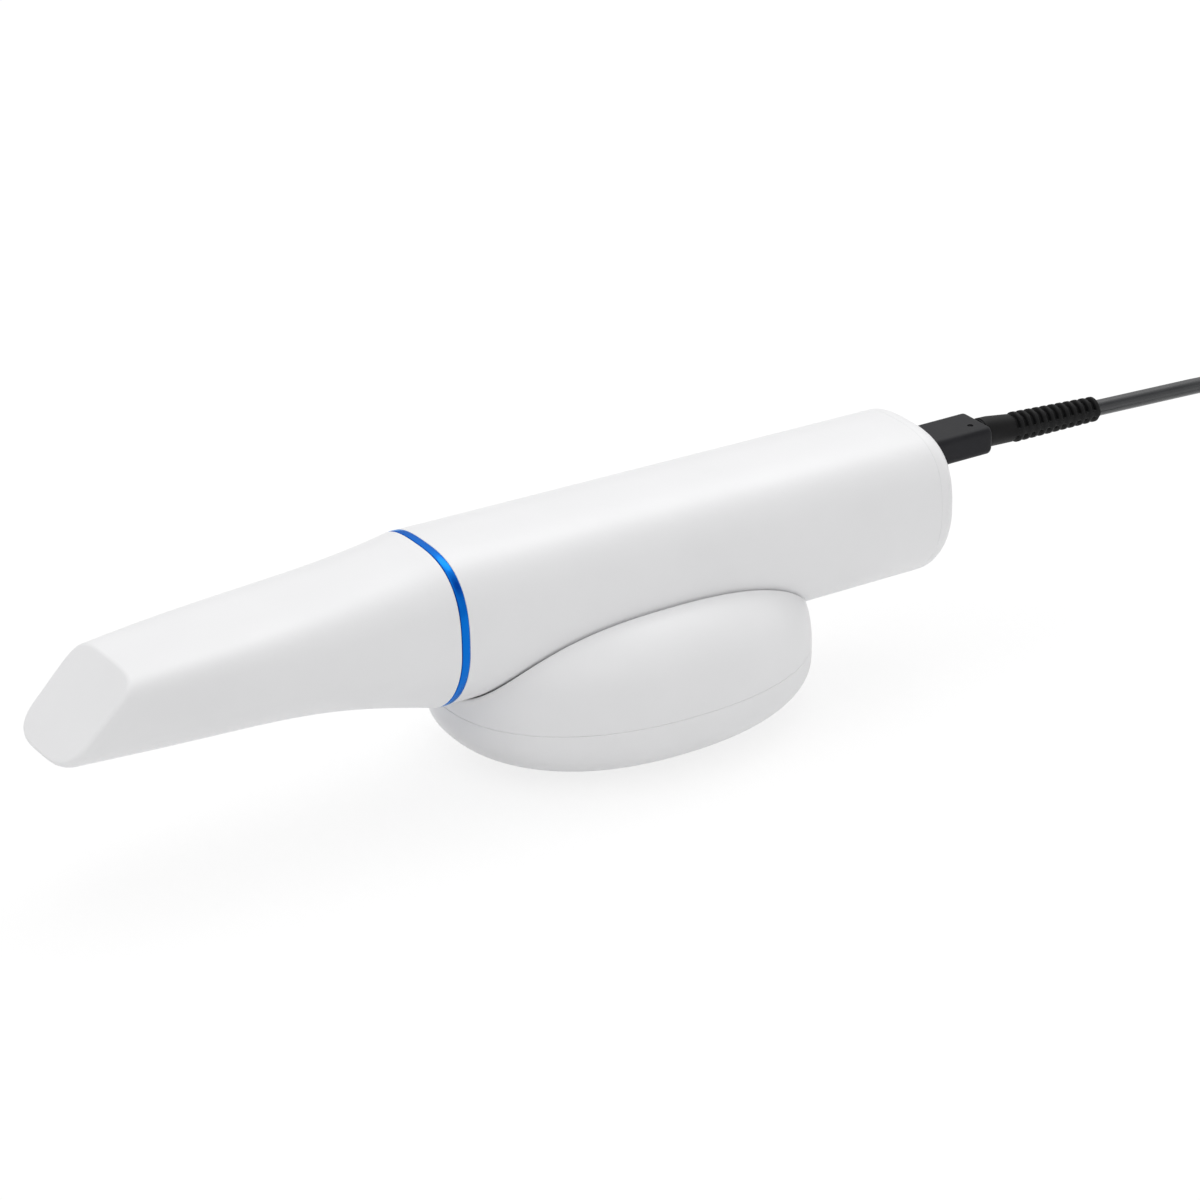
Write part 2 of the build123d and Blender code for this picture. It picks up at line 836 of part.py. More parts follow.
def cradle_screws():
    """Screws from below, under the foot pad, through the base into the shell's posts."""
    part = screw(cradle_screw_shank, cradle_screw_length, cradle_screw_head, cradle_screw_head_height)
    return [Pos(x, 0, cradle_seat) * part for x in cradle_screw_places()]


def plug_body():
    """Moulded grip of the plug, with a step down to the strain relief."""
    section = RectangleRounded(plug_width, plug_height, plug_rounding)
    low = RectangleRounded(plug_width - plug_step, plug_height - plug_step, plug_rounding)
    low = Pos(0, -plug_step / 2) * low
    main_length = plug_length - plug_step_length
    grip = extrude(across(body_length, Pos(0, plug_level) * section), amount=main_length)
    step_x = body_length + main_length
    return grip + extrude(across(step_x, Pos(0, plug_level) * low), amount=plug_step_length)


def plug_tongue():
    """Metal shell of the plug, inside the cable socket."""
    outer = RectangleRounded(socket_width, socket_height, socket_height * socket_roundness)
    section = offset(outer, amount=-socket_sheet - tongue_gap)
    start = body_length - tongue_length
    return extrude(across(start, Pos(0, plug_level) * section), amount=tongue_length)


def relief_frame():
    """Frame at the rear of the plug, with Z along the strain relief and the cable."""
    return Pos(body_length + plug_length, 0, plug_level - plug_step / 2) * Rot(0, 90 + droop_deg, 0)


def strain_relief():
    """Ribbed, tapered sleeve, turned about the cable's axis, with a plain neck at the plug."""
    pitch = relief_length / rib_count
    neck = neck_diameter / 2
    points = [(0, -relief_overlap), (neck, -relief_overlap), (neck, neck_length)]
    for index in range(rib_count):
        start = neck_length + index * pitch
        rise = start + pitch * (1 - rib_share)
        outer = (relief_root + (relief_tip - relief_root) * index / (rib_count - 1)) / 2
        points += [(outer - rib_height, start), (outer - rib_height, rise)]
        points += [(outer, rise), (outer, start + pitch)]
    points.append((0, neck_length + relief_length))
    profile = make_face(Polyline(*points, close=True))
    sleeve = relief_frame() * revolve(Plane.XZ * profile, Axis.Z)
    return sleeve - block(0, body_length + plug_length, 0, body_length, -body_length / 2, body_length)


def tube(points):
    """Round tube along straight runs joined by arcs as large as the runs allow."""
    corners = [Vector(*point) for point in points]
    radii = []
    for before, corner, after in zip(corners, corners[1:], corners[2:]):
        turn = math.radians((corner - before).get_angle(after - corner))
        shorter = min((corner - before).length, (after - corner).length)
        radii.append(bend_share * shorter / math.tan(turn / 2))
    path = FilletPolyline(*corners, radius=radii)
    start = Plane(origin=path @ 0, z_dir=path % 0)
    return sweep(start * Circle(cable_diameter / 2), path=path)


def coil_level(layer):
    """Height of the middle of one layer of turns above the table."""
    return tie_thickness + coil_pitch * (layer + 0.5)


def coil_outer_turn():
    """Radius of the outermost turns of the coil."""
    return coil_radius + coil_pitch * (coil_columns - 1) / 2


def cable_run():
    """Cable from the strain relief down to the outer turn of the coil's top layer."""
    exit_point = handpiece_frame * relief_frame() * Pos(0, 0, neck_length + relief_length)
    start = exit_point.position
    along = (exit_point * Pos(0, 0, 1)).position - start
    landing = Vector(coil_place_x, coil_place_y + coil_outer_turn(), coil_level(coil_layers - 1))
    points = [
        start,
        start + along * cable_straight,
        (220.0, -0.3, 42.2),
        (231.0, -0.5, 34.9),
        (241.5, -0.6, 26.2),
        (253.0, -0.4, 19.0),
        (265.0, -0.1, 15.45),
        landing,
    ]
    return tube(points)


def coil_section(grow):
    """Section of the coil's bundle of turns, grown all round, about its own middle."""
    width = coil_columns * coil_pitch + coil_slack + 2 * grow
    height = coil_layers * coil_pitch + 2 * grow
    return Rectangle(width, height)


def coil_centre():
    """Middle of the coil, at half its height."""
    return Pos(coil_place_x, coil_place_y, tie_thickness + coil_layers * coil_pitch / 2)


def cable_coil():
    """Closed ring with the outer shape of the coiled turns."""
    return coil_centre() * revolve(Plane.XZ * Pos(coil_radius, 0) * coil_section(0), Axis.Z)


def coil_tie():
    """Strap round the bundle of turns, on the side away from the handpiece."""
    band = coil_section(tie_thickness) - coil_section(tie_clearance)
    turn = math.degrees(tie_width / coil_radius)
    strap = revolve(Plane.XZ * Pos(coil_radius, 0) * band, Axis.Z, revolution_arc=turn)
    return coil_centre() * Rot(0, 0, -turn / 2) * strap


def cable_tail():
    """Short end of the cable from the coil's bottom layer to the far plug."""
    side = coil_place_y - coil_outer_turn()
    level = grip_height / 2
    rest = coil_level(0)
    points = [
        (coil_place_x, side, rest),
        (coil_place_x - 9.0, side - 0.2, rest + 0.2),
        (coil_place_x - 19.0, side - 0.9, level - 0.1),
        (coil_place_x - 31.0, side - tail_aside, level),
        (tail_end(), side - tail_aside, level),
    ]
    return tube(points)


def tail_end():
    """X place where the cable meets the far plug's grip."""
    return coil_place_x - tail_length


def far_plug_frame():
    """Frame at the grip's rear face, with X pointing out of the plug."""
    side = coil_place_y - coil_outer_turn() - tail_aside
    return Pos(tail_end(), side, grip_height / 2) * Rot(0, 0, 180)


def host_plug_grip():
    """Moulded grip of the far plug."""
    section = RectangleRounded(grip_width, grip_height, grip_rounding)
    return far_plug_frame() * extrude(across(0, section), amount=grip_length)


def host_plug_shell():
    """Folded metal shell of the far plug, open at its end."""
    outer = Rectangle(shell_width, shell_height)
    inner = Rectangle(shell_width - 2 * shell_sheet, shell_height - 2 * shell_sheet)
    shell = extrude(across(grip_length, outer), amount=shell_length)
    shell -= extrude(across(grip_length, inner), amount=shell_length)
    return far_plug_frame() * shell


def host_plug_insert():
    """Insulator with the contacts, on the floor of the far plug's shell."""
    inner_width = shell_width - 2 * shell_sheet
    floor = -shell_height / 2 + shell_sheet
    length = shell_length - insert_setback
    return far_plug_frame() * block(grip_length, length, 0, inner_width, floor, insert_height)


def on_handpiece(solids):
    """Moves solids from the handpiece's frame to the part's own frame."""
    shapes = solids if isinstance(solids, list) else [solids]
    return [handpiece_frame * shape for shape in shapes]


def save(name, shapes):
    """Writes one node: a single solid, or a group of separate solids."""
    solids = [solid for shape in shapes for solid in shape.solids()]
    node = solids[0] if len(solids) == 1 else Compound(solids)
    export_step(node, f"parts/{name}.step")


os.makedirs("parts", exist_ok=True)
projector_y = lens_places()["projector"]
camera_y = lens_places()["camera"]
handpiece_nodes = {
    "tip_sleeve": tip_sleeve(),
    "tip_mirror": tip_mirror(),
    "retainer_band": egg_band(0.0),
    "accent_ring": accent_ring(),
    "nose_barrel": nose_barrel(),
    "nose_window": glass(0.0),
    "body_shell": body_shell(),
    "rear_cap": rear_cap(),
    "optics_frame": optics_frame(),
    "projector_barrel": lens_barrel(projector_y),
    "projector_lens": lens(projector_y),
    "camera_barrel": lens_barrel(camera_y),
    "camera_lens": lens(camera_y),
    "sensor_board": optic_board(camera_y),
    "image_sensor": optic_chip(camera_y),
    "led_board": optic_board(projector_y),
    "led_emitter": optic_chip(projector_y),
    "led_heat_sink": led_heat_sink(),
    "main_board": main_board(),
    "processor": processor(),
    "heat_spreader": heat_spreader(),
    "cable_socket": cable_socket(),
    "button_board": button_board(),
    "button_switch": button_switch(),
    "scan_button": scan_button(),
    "frame_screws": frame_screws(),
    "board_screws": board_screws(),
    "cap_screws": cap_screws(),
    "cradle_shell": cradle_shell(),
    "cradle_base": cradle_base(),
    "cradle_ballast": cradle_ballast(),
    "foot_pad": foot_pad(),
    "cradle_screws": cradle_screws(),
    "plug_body": plug_body(),
    "plug_tongue": plug_tongue(),
    "strain_relief": strain_relief(),
}
for name, solids in handpiece_nodes.items():
    save(name, on_handpiece(solids))

cord_nodes = {
    "cable_run": cable_run(),
    "cable_coil": cable_coil(),
    "cable_tail": cable_tail(),
    "coil_tie": coil_tie(),
    "host_plug_grip": host_plug_grip(),
    "host_plug_shell": host_plug_shell(),
    "host_plug_insert": host_plug_insert(),
}
for name, solid in cord_nodes.items():
    save(name, [solid])
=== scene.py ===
"""Looks of a corded intraoral scanner lying in its desk cradle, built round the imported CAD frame.

Shapes are worked out in millimetres in the handpiece's own frame: X along the handpiece from the front face
of the blue ring, scan tip towards -X, Z up from the handpiece's axis. ROW_SHIFT moves them to the row frame.
"""

import math

import bmesh
import bpy
import numpy as np
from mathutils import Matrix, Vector


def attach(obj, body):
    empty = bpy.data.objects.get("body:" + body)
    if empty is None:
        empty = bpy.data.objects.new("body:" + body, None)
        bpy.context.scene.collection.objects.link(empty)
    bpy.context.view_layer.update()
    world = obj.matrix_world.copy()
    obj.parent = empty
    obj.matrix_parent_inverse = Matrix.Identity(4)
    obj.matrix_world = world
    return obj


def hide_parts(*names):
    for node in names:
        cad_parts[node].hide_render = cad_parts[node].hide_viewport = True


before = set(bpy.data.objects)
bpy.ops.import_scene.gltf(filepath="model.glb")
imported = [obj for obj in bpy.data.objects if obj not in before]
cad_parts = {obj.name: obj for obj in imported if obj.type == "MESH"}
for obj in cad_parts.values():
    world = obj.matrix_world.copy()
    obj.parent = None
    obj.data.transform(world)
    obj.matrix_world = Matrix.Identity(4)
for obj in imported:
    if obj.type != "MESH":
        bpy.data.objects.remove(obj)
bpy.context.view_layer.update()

MM = 0.001
ROW_SHIFT = np.array([-21.0, 0.0, 39.8])  # handpiece frame to row frame, mm

# Body and ring sections: half width, height above the axis, height below it
RING_SECTION = (19.4, 19.7, 19.7)
REAR_SECTION = (18.9, 18.3, 19.9)
SQUARE_TOP = 2.8
SQUARE_BOTTOM = 1.9
RING_WIDTH = 2.0
BODY_LENGTH = 136.0
CAP_SEAM = 131.0
CAP_ROUNDING = 4.0
BODY_WALL = 2.0
CAVITY_START = 5.0
RING_SEAM = 0.12  # edge roundings at the seams
REAR_SEAM = 0.05
SEAM_GAP = 0.01
AROUND = 192  # points round a section
SHARP_DEG = 34.0  # an edge that turns by more than this keeps its crease
NOISE_RANGE = (0.3, 0.7)  # where most values of a noise texture lie
FLAKE_MM = 0.35  # pearl flakes, drawn coarser than the real 0.05 mm so that they show


def hex_linear(code):
    """sRGB hex colour as linear RGBA: the standard piecewise curve on each channel."""
    channels = np.array([int(code[i : i + 2], 16) for i in (1, 3, 5)]) / 255
    linear = np.where(channels <= 0.04045, channels / 12.92, ((channels + 0.055) / 1.055) ** 2.4)
    return (*linear, 1.0)


def add(tree, kind, inputs=None, **settings):
    """Adds one node with its settings; each input is set, or linked where a socket is given."""
    node = tree.nodes.new(kind)
    for key, value in settings.items():
        setattr(node, key, value)
    for key, value in (inputs or {}).items():
        if isinstance(value, bpy.types.NodeSocket):
            tree.links.new(value, node.inputs[key])
        else:
            node.inputs[key].default_value = value
    return node


def finish_of(name, colour, roughness, **sockets):
    """New material: its Principled shader with plain socket values, and its Object coordinates."""
    made = bpy.data.materials.new(name)
    made.use_nodes = True
    tree = made.node_tree
    shader = tree.nodes["Principled BSDF"]
    shader.inputs["Base Color"].default_value = hex_linear(colour)
    shader.inputs["Roughness"].default_value = roughness
    for key, value in sockets.items():
        shader.inputs[key.replace("_", " ")].default_value = value
    place = add(tree, "ShaderNodeTexCoord").outputs["Object"]
    return made, tree, shader, place


def grain(tree, shader, place, size_mm, depth_mm):
    """Moulded or cast grain: noise of one grain size drives the shader's bump."""
    noise = add(tree, "ShaderNodeTexNoise", {"Vector": place, "Scale": 1 / (size_mm * MM), "Detail": 2.0})
    bump = add(tree, "ShaderNodeBump", {"Height": noise.outputs["Fac"], "Distance": depth_mm * MM})
    tree.links.new(bump.outputs["Normal"], shader.inputs["Normal"])


def drift(tree, shader, place, size_mm, colours, roughness):
    """Slow unevenness of a finish: one wide noise moves the colour and the gloss between two values."""
    noise = add(tree, "ShaderNodeTexNoise", {"Vector": place, "Scale": 1 / (size_mm * MM), "Detail": 3.0})
    ramp = add(tree, "ShaderNodeValToRGB", {"Fac": noise.outputs["Fac"]})
    for stop, position, colour in zip(ramp.color_ramp.elements, NOISE_RANGE, colours):
        stop.position, stop.color = position, hex_linear(colour)
    tree.links.new(ramp.outputs["Color"], shader.inputs["Base Color"])
    limits = dict(zip(("From Min", "From Max", "To Min", "To Max"), (*NOISE_RANGE, *roughness)))
    gloss = add(tree, "ShaderNodeMapRange", {"Value": noise.outputs["Fac"], **limits})
    tree.links.new(gloss.outputs["Result"], shader.inputs["Roughness"])


def white_abs():
    """White ABS, moulded in a fine-polished tool: even white, satin gloss, the least orange peel."""
    made, tree, shader, place = finish_of("white moulded ABS", "#f2f2f3", 0.36, IOR=1.53)
    drift(tree, shader, place, 26.0, ("#f3f3f4", "#f0f0f1"), (0.34, 0.40))
    grain(tree, shader, place, 1.6, 0.012)
    return made


def pearl_blue():
    """Blue pearl lacquer, sprayed on plastic.

    Mica flakes with a titania skin, of index about 2.4, give its cyan sheen over deep blue.
    """
    tint = hex_linear("#12d6f4")
    sheen = {"Metallic": 0.4, "IOR": 2.4, "Specular_IOR_Level": 0.72, "Specular_Tint": tint}
    made, tree, shader, place = finish_of("blue pearl lacquer", "#0a48cc", 0.2, **sheen)
    flakes = add(tree, "ShaderNodeTexVoronoi", {"Vector": place, "Scale": 1 / (FLAKE_MM * MM)})
    inputs = {"Value": flakes.outputs["Distance"], "To Min": 0.16, "To Max": 0.26}
    gloss = add(tree, "ShaderNodeMapRange", inputs)
    tree.links.new(gloss.outputs["Result"], shader.inputs["Roughness"])
    grain(tree, shader, place, 1.2, 0.006)
    return made


def black_moulding(name, colours, roughness, size_mm, depth_mm, **sockets):
    """Dark moulded plastic or elastomer: near black, fine eroded grain, uneven low gloss."""
    made, tree, shader, place = finish_of(name, colours[0], roughness[0], **sockets)
    drift(tree, shader, place, 9.0, colours, roughness)
    grain(tree, shader, place, size_mm, depth_mm)
    return made


def plain_metal(name, colour, roughness, size_mm, depth_mm):
    """Bare metal: its own colour, roughness of the process, and a fine cast or rolled grain."""
    made, tree, shader, place = finish_of(name, colour, roughness, Metallic=1.0)
    grain(tree, shader, place, size_mm, depth_mm)
    return made


def clear_glass():
    """Polished optical glass."""
    made, tree, shader, place = finish_of("optical glass", "#f4f8fa", 0.03, IOR=1.52, Transmission_Weight=1.0)
    grain(tree, shader, place, 12.0, 0.002)
    return made


def woven_nylon(name, colours, thread_mm):
    """Woven nylon webbing: two thread sets cross over, so bands along and across make a fine relief."""
    made, tree, shader, place = finish_of(name, colours[0], 0.72, Sheen_Weight=0.15)
    drift(tree, shader, place, 4.0, colours, (0.66, 0.78))
    scale = 2 * math.pi / (20 * thread_mm * MM)
    warp = add(tree, "ShaderNodeTexWave", {"Vector": place, "Scale": scale}, bands_direction="Y")
    weft = add(tree, "ShaderNodeTexWave", {"Vector": place, "Scale": scale}, bands_direction="Z")
    both = add(tree, "ShaderNodeMath", {0: warp.outputs["Fac"], 1: weft.outputs["Fac"]}, operation="MULTIPLY")
    bump = add(tree, "ShaderNodeBump", {"Height": both.outputs[0], "Strength": 0.9, "Distance": 0.15 * MM})
    tree.links.new(bump.outputs["Normal"], shader.inputs["Normal"])
    return made


def power(value, exponent):
    """Signed power, the building block of a superellipse."""
    return np.sign(value) * np.abs(value) ** exponent


def smooth(share):
    """Smooth step from 0 to 1 with level ends: three times the square less twice the cube."""
    return share * share * (3 - 2 * share)


def egg(angle, half_width, top, bottom, high, low):
    """Egg section: y and z of a superellipse with its own height and squareness above and below the axis.

    Each ray at an even angle is stretched until the n-th powers of its two shares add up to one.
    """
    across, up = np.cos(angle), np.sin(angle)
    square = np.where(up >= 0, high, low)
    height = np.where(up >= 0, top, bottom)
    stretch = (np.abs(across) ** square + np.abs(up) ** square) ** (-1 / square)
    return stretch * across * half_width, stretch * up * height


def round_angles(count=AROUND):
    """Evenly spaced angles round a section."""
    return np.linspace(0, 2 * np.pi, count, endpoint=False)


def circle(count):
    """Points evenly spaced round a circle of radius one."""
    turn = round_angles(count)
    return np.stack([np.cos(turn), np.sin(turn)], -1)


def egg_ring(x, size, low=SQUARE_BOTTOM):
    """Ring of points of an egg section at x, from its half width and its heights above and below."""
    y, z = egg(round_angles(), *size, SQUARE_TOP, low)
    return np.stack([np.full_like(y, x), y, z], axis=-1)


def body_sizes(x):
    """Half width and heights above and below of the body at x, which tapers straight from ring to rear."""
    return [a + x / BODY_LENGTH * (b - a) for a, b in zip(RING_SECTION, REAR_SECTION)]


def body_ring(x, inset=0.0):
    """Ring of points of the body's section at x, inset all round."""
    return egg_ring(x, [size - inset for size in body_sizes(x)])


def quarter(steps):
    """Sine and cosine of a quarter turn in even steps, both ends included."""
    turn = np.linspace(0, np.pi / 2, steps + 1)
    return np.sin(turn), np.cos(turn)


def edge_in(ring_at, x, radius, side, steps=5):
    """Rounded edge at the end x of a bar: its section shrinks along a quarter circle.

    The side is -1 at the start of a bar and 1 at its end.
    """
    rings = [ring_at(x - side * radius * (1 - s), radius * (1 - c)) for s, c in zip(*quarter(steps))]
    return rings if side > 0 else rings[::-1]


def disc(ring, shares=(0.03, 0.25, 0.5, 0.75, 0.92)):
    """Rings that close a flat end: the ring drawn towards its own middle in steps."""
    middle = ring.mean(axis=0)
    return [ring + (middle - ring) * share for share in shares]


def capped(rings):
    """The rings with a disc closing each flat end."""
    return disc(rings[0])[::-1] + rings + disc(rings[-1])


def skin_faces(rows, columns, loop):
    """Quads between neighbouring rings, closed round each ring, and from last to first ring where loop."""
    r = np.arange(rows if loop else rows - 1)[:, None]
    c = np.arange(columns)[None, :]
    down, right = (r + 1) % rows, (c + 1) % columns
    corners = (r * columns + c, r * columns + right, down * columns + right, down * columns + c)
    return np.stack(np.broadcast_arrays(*corners), -1).reshape(-1, 4)


def placed(name, data):
    """New object with this data, linked to the scene."""
    made = bpy.data.objects.new(name, data)
    bpy.context.scene.collection.objects.link(made)
    return made


def solid(name, points, faces):
    """New object from points in metres, its faces turned outwards by the sign of the volume they enclose."""
    mesh = bpy.data.meshes.new(name)
    mesh.from_pydata(points.tolist(), [], faces)
    mesh.update()
    mesh.calc_loop_triangles()
    corner = np.empty(len(mesh.loop_triangles) * 3, np.int32)
    mesh.loop_triangles.foreach_get("vertices", corner)
    place = points - points.mean(axis=0)
    a, b, c = (place[corner.reshape(-1, 3)[:, i]] for i in range(3))
    if np.einsum("ij,ij->", a, np.cross(b, c)) < 0:
        mesh.flip_normals()
    return placed(name, mesh)


def shade(mesh, sharp_deg=SHARP_DEG):
    """Smooth shading, with a crease at each edge that turns by more than an angle."""
    mesh.polygons.foreach_set("use_smooth", np.ones(len(mesh.polygons), bool))
    mesh.set_sharp_from_angle(angle=math.radians(sharp_deg))


def skin(
    name, rings, material, replaces=(), body="handpiece",
    loop=False, shift=ROW_SHIFT, sharp_deg=SHARP_DEG,
):
    """Closed piece over a stack of rings; its open ends close in a point at the middle of the end rings."""
    rings = np.asarray(rings, float)
    rows, columns = rings.shape[:2]
    points = rings.reshape(-1, 3)
    faces = skin_faces(rows, columns, loop).tolist()
    if not loop:
        first, last = len(points), len(points) + 1
        points = np.vstack([points, rings[0].mean(axis=0), rings[-1].mean(axis=0)])
        c = np.arange(columns)
        right = (c + 1) % columns
        foot = (rows - 1) * columns
        faces += np.stack([np.full(columns, first), right, c], -1).tolist()
        faces += np.stack([np.full(columns, last), foot + c, foot + right], -1).tolist()
    piece = solid(name, (points + shift) * MM, faces)
    settle(piece, material, body, replaces, sharp_deg)
    return piece


def settle(piece, material, body, replaces, sharp_deg=SHARP_DEG):
    """Gives a piece its material, smooth shading with creases and its body, and hides the nodes it stands
    for.
    """
    mesh = piece.data
    mesh.materials.clear()
    mesh.materials.append(material)
    shade(mesh, sharp_deg)
    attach(piece, body)
    if replaces:
        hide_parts(*replaces)


def prism(outline, low, high, axis, shift=ROW_SHIFT):
    """Cutting bar: a closed flat outline carried from low to high along one axis, as a mesh object."""
    count = len(outline)
    levels = np.repeat([low, high], count)
    flat = np.tile(outline, (2, 1))
    points = np.insert(flat, axis, levels, axis=1)
    c = np.arange(count)
    right = (c + 1) % count
    faces = np.stack([c, right, right + count, c + count], -1).tolist()
    faces += [c[::-1].tolist(), (c + count).tolist()]
    return solid("cutter", (points + shift) * MM, faces)


def cut(piece, cutters):
    """Takes the cutters out of a piece with exact Booleans, and keeps the result as its mesh."""
    for cutter in cutters:
        step = piece.modifiers.new("cut", "BOOLEAN")
        step.operation, step.solver, step.object = "DIFFERENCE", "EXACT", cutter
    seen = piece.evaluated_get(bpy.context.evaluated_depsgraph_get())
    mesh = bpy.data.meshes.new_from_object(seen)
    piece.modifiers.clear()
    old = piece.data
    piece.data = mesh
    bpy.data.meshes.remove(old)
    for cutter in cutters:
        bpy.data.objects.remove(cutter)
    shade(mesh)


def rounded_outline(half_a, half_b, corner, steps=8):
    """Rounded rectangle: four quarter arcs about the corner centres, joined by straight sides."""
    turn = np.linspace(0, np.pi / 2, steps + 1)
    turns = (np.arange(4)[:, None] * np.pi / 2 + turn[None, :]).ravel()
    side = np.repeat([[1, 1], [-1, 1], [-1, -1], [1, -1]], steps + 1, axis=0)
    centre = side * (np.array([half_a, half_b]) - corner)
    return centre + corner * np.stack([np.cos(turns), np.sin(turns)], -1)


# Scan tip
TIP_GAP = 0.2
TIP_WALL = 1.6
END_FOOT = (-93.75, -5.7)  # x and z of the lowest line of the slanted end's plane
END_WALL = 2.15
END_ROUNDING, LOW_ROUNDING = 1.6, 0.5  # round the end's top and sides, and along its foot
FOOT_SPREAD = 0.5  # share of the height over which one turns into the other
TIP_STATIONS = np.array([  # x, half width, top, bottom, squareness above, squareness below
    (-0.2, 19.4, 19.7, 19.7, 2.8, 1.9),
    (-19.4, 18.1, 16.95, 14.4, 2.95, 1.9),
    (-44.62, 16.95, 14.65, 10.0, 3.6, 2.1),
    (-69.84, 14.6, 12.6, 7.8, 4.6, 3.0),
    (-97.0, 13.4, 9.6, 5.7, 5.0, 3.6),
])
TIP_CURVES = [np.polyfit(TIP_STATIONS[:, 0], TIP_STATIONS[:, i], 4) for i in range(1, 6)]
SOCKET_SECTION = (16.8, 16.9, 15.3)
SOCKET_DEPTH = 10.0
SOCKET_MOUTH = (  # place inside the tip, growth of the socket towards its mouth
    (SOCKET_DEPTH, 1.0), (SOCKET_DEPTH / 2, 1.0), (0.9, 1.0), (0.5, 1.012), (TIP_GAP, 1.03),
)
WINDOW = (-81.5, 7.0, 8.5, 3.0)  # middle along x, half length, half width, corner
WINDOW_LEVELS = (-22.0, -2.85)  # from below the tip to inside it
ROLL_STEPS, TUBE_STEPS, BORE_STEPS = 14, 72, 30


def tip_tube(angle, x, shrink=0.0):
    """Points of the tip's tube: an egg section whose sizes are quartics in x through the five stations."""
    width, top, bottom, high, low = (np.polyval(curve, x) for curve in TIP_CURVES)
    y, z = egg(angle, width - shrink, top - shrink, bottom - shrink, high, low)
    return np.stack(np.broadcast_arrays(x, y, z), axis=-1)


def tip_normal(angle, x, step=1e-3):
    """Outward normal of the tip's tube: the cross product of its two central differences."""
    along = tip_tube(angle, x + step) - tip_tube(angle, x - step)
    round_about = tip_tube(angle + step, x) - tip_tube(angle - step, x)
    normal = np.cross(round_about, along)
    normal /= np.linalg.norm(normal, axis=-1, keepdims=True)
    outward = np.sign(np.sum(normal[..., 1:] * tip_tube(angle, x)[..., 1:], axis=-1, keepdims=True))
    return normal * outward


def end_distance(points):
    """Distance of points inside the plane of the slanted end, which leans back at 45 degrees."""
    return (points[..., 0] - END_FOOT[0] - points[..., 2] + END_FOOT[1]) / math.sqrt(2)


def meet_end(points_at, depth, near=-97.0, far=-30.0):
    """x, for each angle, where points_at(x) lies at one depth inside the slanted end, by halving."""
    low, high = np.full(AROUND, near), np.full(AROUND, far)
    for _ in range(50):
        middle = (low + high) / 2
        short = end_distance(points_at(middle)) < depth
        low, high = np.where(short, middle, low), np.where(short, high, middle)
    return (low + high) / 2


def scan_tip(material):
    """Hollow tip as one stack: inner end, bore, socket, root, outer tube, rolled edge, flat slanted end."""
    angle = round_angles()
    share = np.clip((1 + np.sin(angle)) / FOOT_SPREAD, 0, 1)
    radius = LOW_ROUNDING + (END_ROUNDING - LOW_ROUNDING) * smooth(share)
    ball = radius[:, None]
    reach = meet_end(lambda x: tip_tube(angle, x) - ball * tip_normal(angle, x), radius)
    start = tip_normal(angle, reach)
    centre = tip_tube(angle, reach) - ball * start
    end = np.array([-math.sqrt(0.5), 0.0, math.sqrt(0.5)])
    spread = np.arccos(np.clip(start @ end, -1, 1))[:, None]
    rolled = []
    for share in np.linspace(0, 1, ROLL_STEPS + 1)[1:]:
        lean = (np.sin((1 - share) * spread) * start + np.sin(share * spread) * end) / np.sin(spread)
        rolled.append(centre + ball * lean)
    edge = RING_SEAM
    root = edge_in(lambda x, inset: tip_tube(angle, np.full(AROUND, x), inset), -TIP_GAP, edge, 1)[::-1]
    shares = np.linspace(0, 1, TUBE_STEPS + 1)[1:]
    tube = [tip_tube(angle, -TIP_GAP - edge + (reach + TIP_GAP + edge) * share) for share in shares]
    socket = [egg_ring(-x, np.array(SOCKET_SECTION) * grow) for x, grow in SOCKET_MOUTH]
    inner_end = meet_end(lambda x: tip_tube(angle, x, TIP_WALL), END_WALL)
    inner = [
        tip_tube(angle, inner_end + (-SOCKET_DEPTH - inner_end) * share, TIP_WALL)
        for share in np.linspace(0, 1, BORE_STEPS + 1)
    ]
    stack = capped(inner + socket + root + tube + rolled)
    tip = skin("scan_tip", stack, material, ["tip_sleeve"], "tip")
    place, *sizes = WINDOW
    outline = rounded_outline(*sizes) + (place, 0.0)
    cut(tip, [prism(outline, *WINDOW_LEVELS, 2)])


# Accent ring, body shell and rear cap
COLLAR_BORE = (16.6, 16.7, 15.1)
RING_GAP, RING_EDGE, RING_CROWN = 0.02, 0.22, 0.03
BODY_CHANNEL = (11.0, 5.5, 4.0)  # half width, half height, corner of the light's way through the front face
CHANNEL_LEVEL = 1.5
BUTTON_SLOT = (9.35, 4.85, 4.84)  # half length, half width, corner
BUTTON_PLACE = 26.0
PORT = (4.77, 1.88, 1.58)  # half width, half height, corner
PLUG_LEVEL = 9.0
SCREW_SIDE, SCREW_LEVEL = 7.6, -3.6
HEAD_HOLE, HEAD_DEPTH, SHANK_HOLE = 2.2, 1.8, 1.15


def ring_band(material):
    """Accent ring: a closed loop of rings, outer face with rounded edges, inner face on the collar."""
    outer = edge_in(body_ring, RING_GAP, RING_EDGE, -1) + [body_ring(RING_WIDTH / 2, -RING_CROWN)]
    outer += edge_in(body_ring, RING_WIDTH - RING_GAP, RING_EDGE, 1)
    inner = [egg_ring(x, COLLAR_BORE) for x in (RING_WIDTH - RING_GAP, RING_GAP)]
    skin("accent_band", outer + inner, material, ["accent_ring"], loop=True)


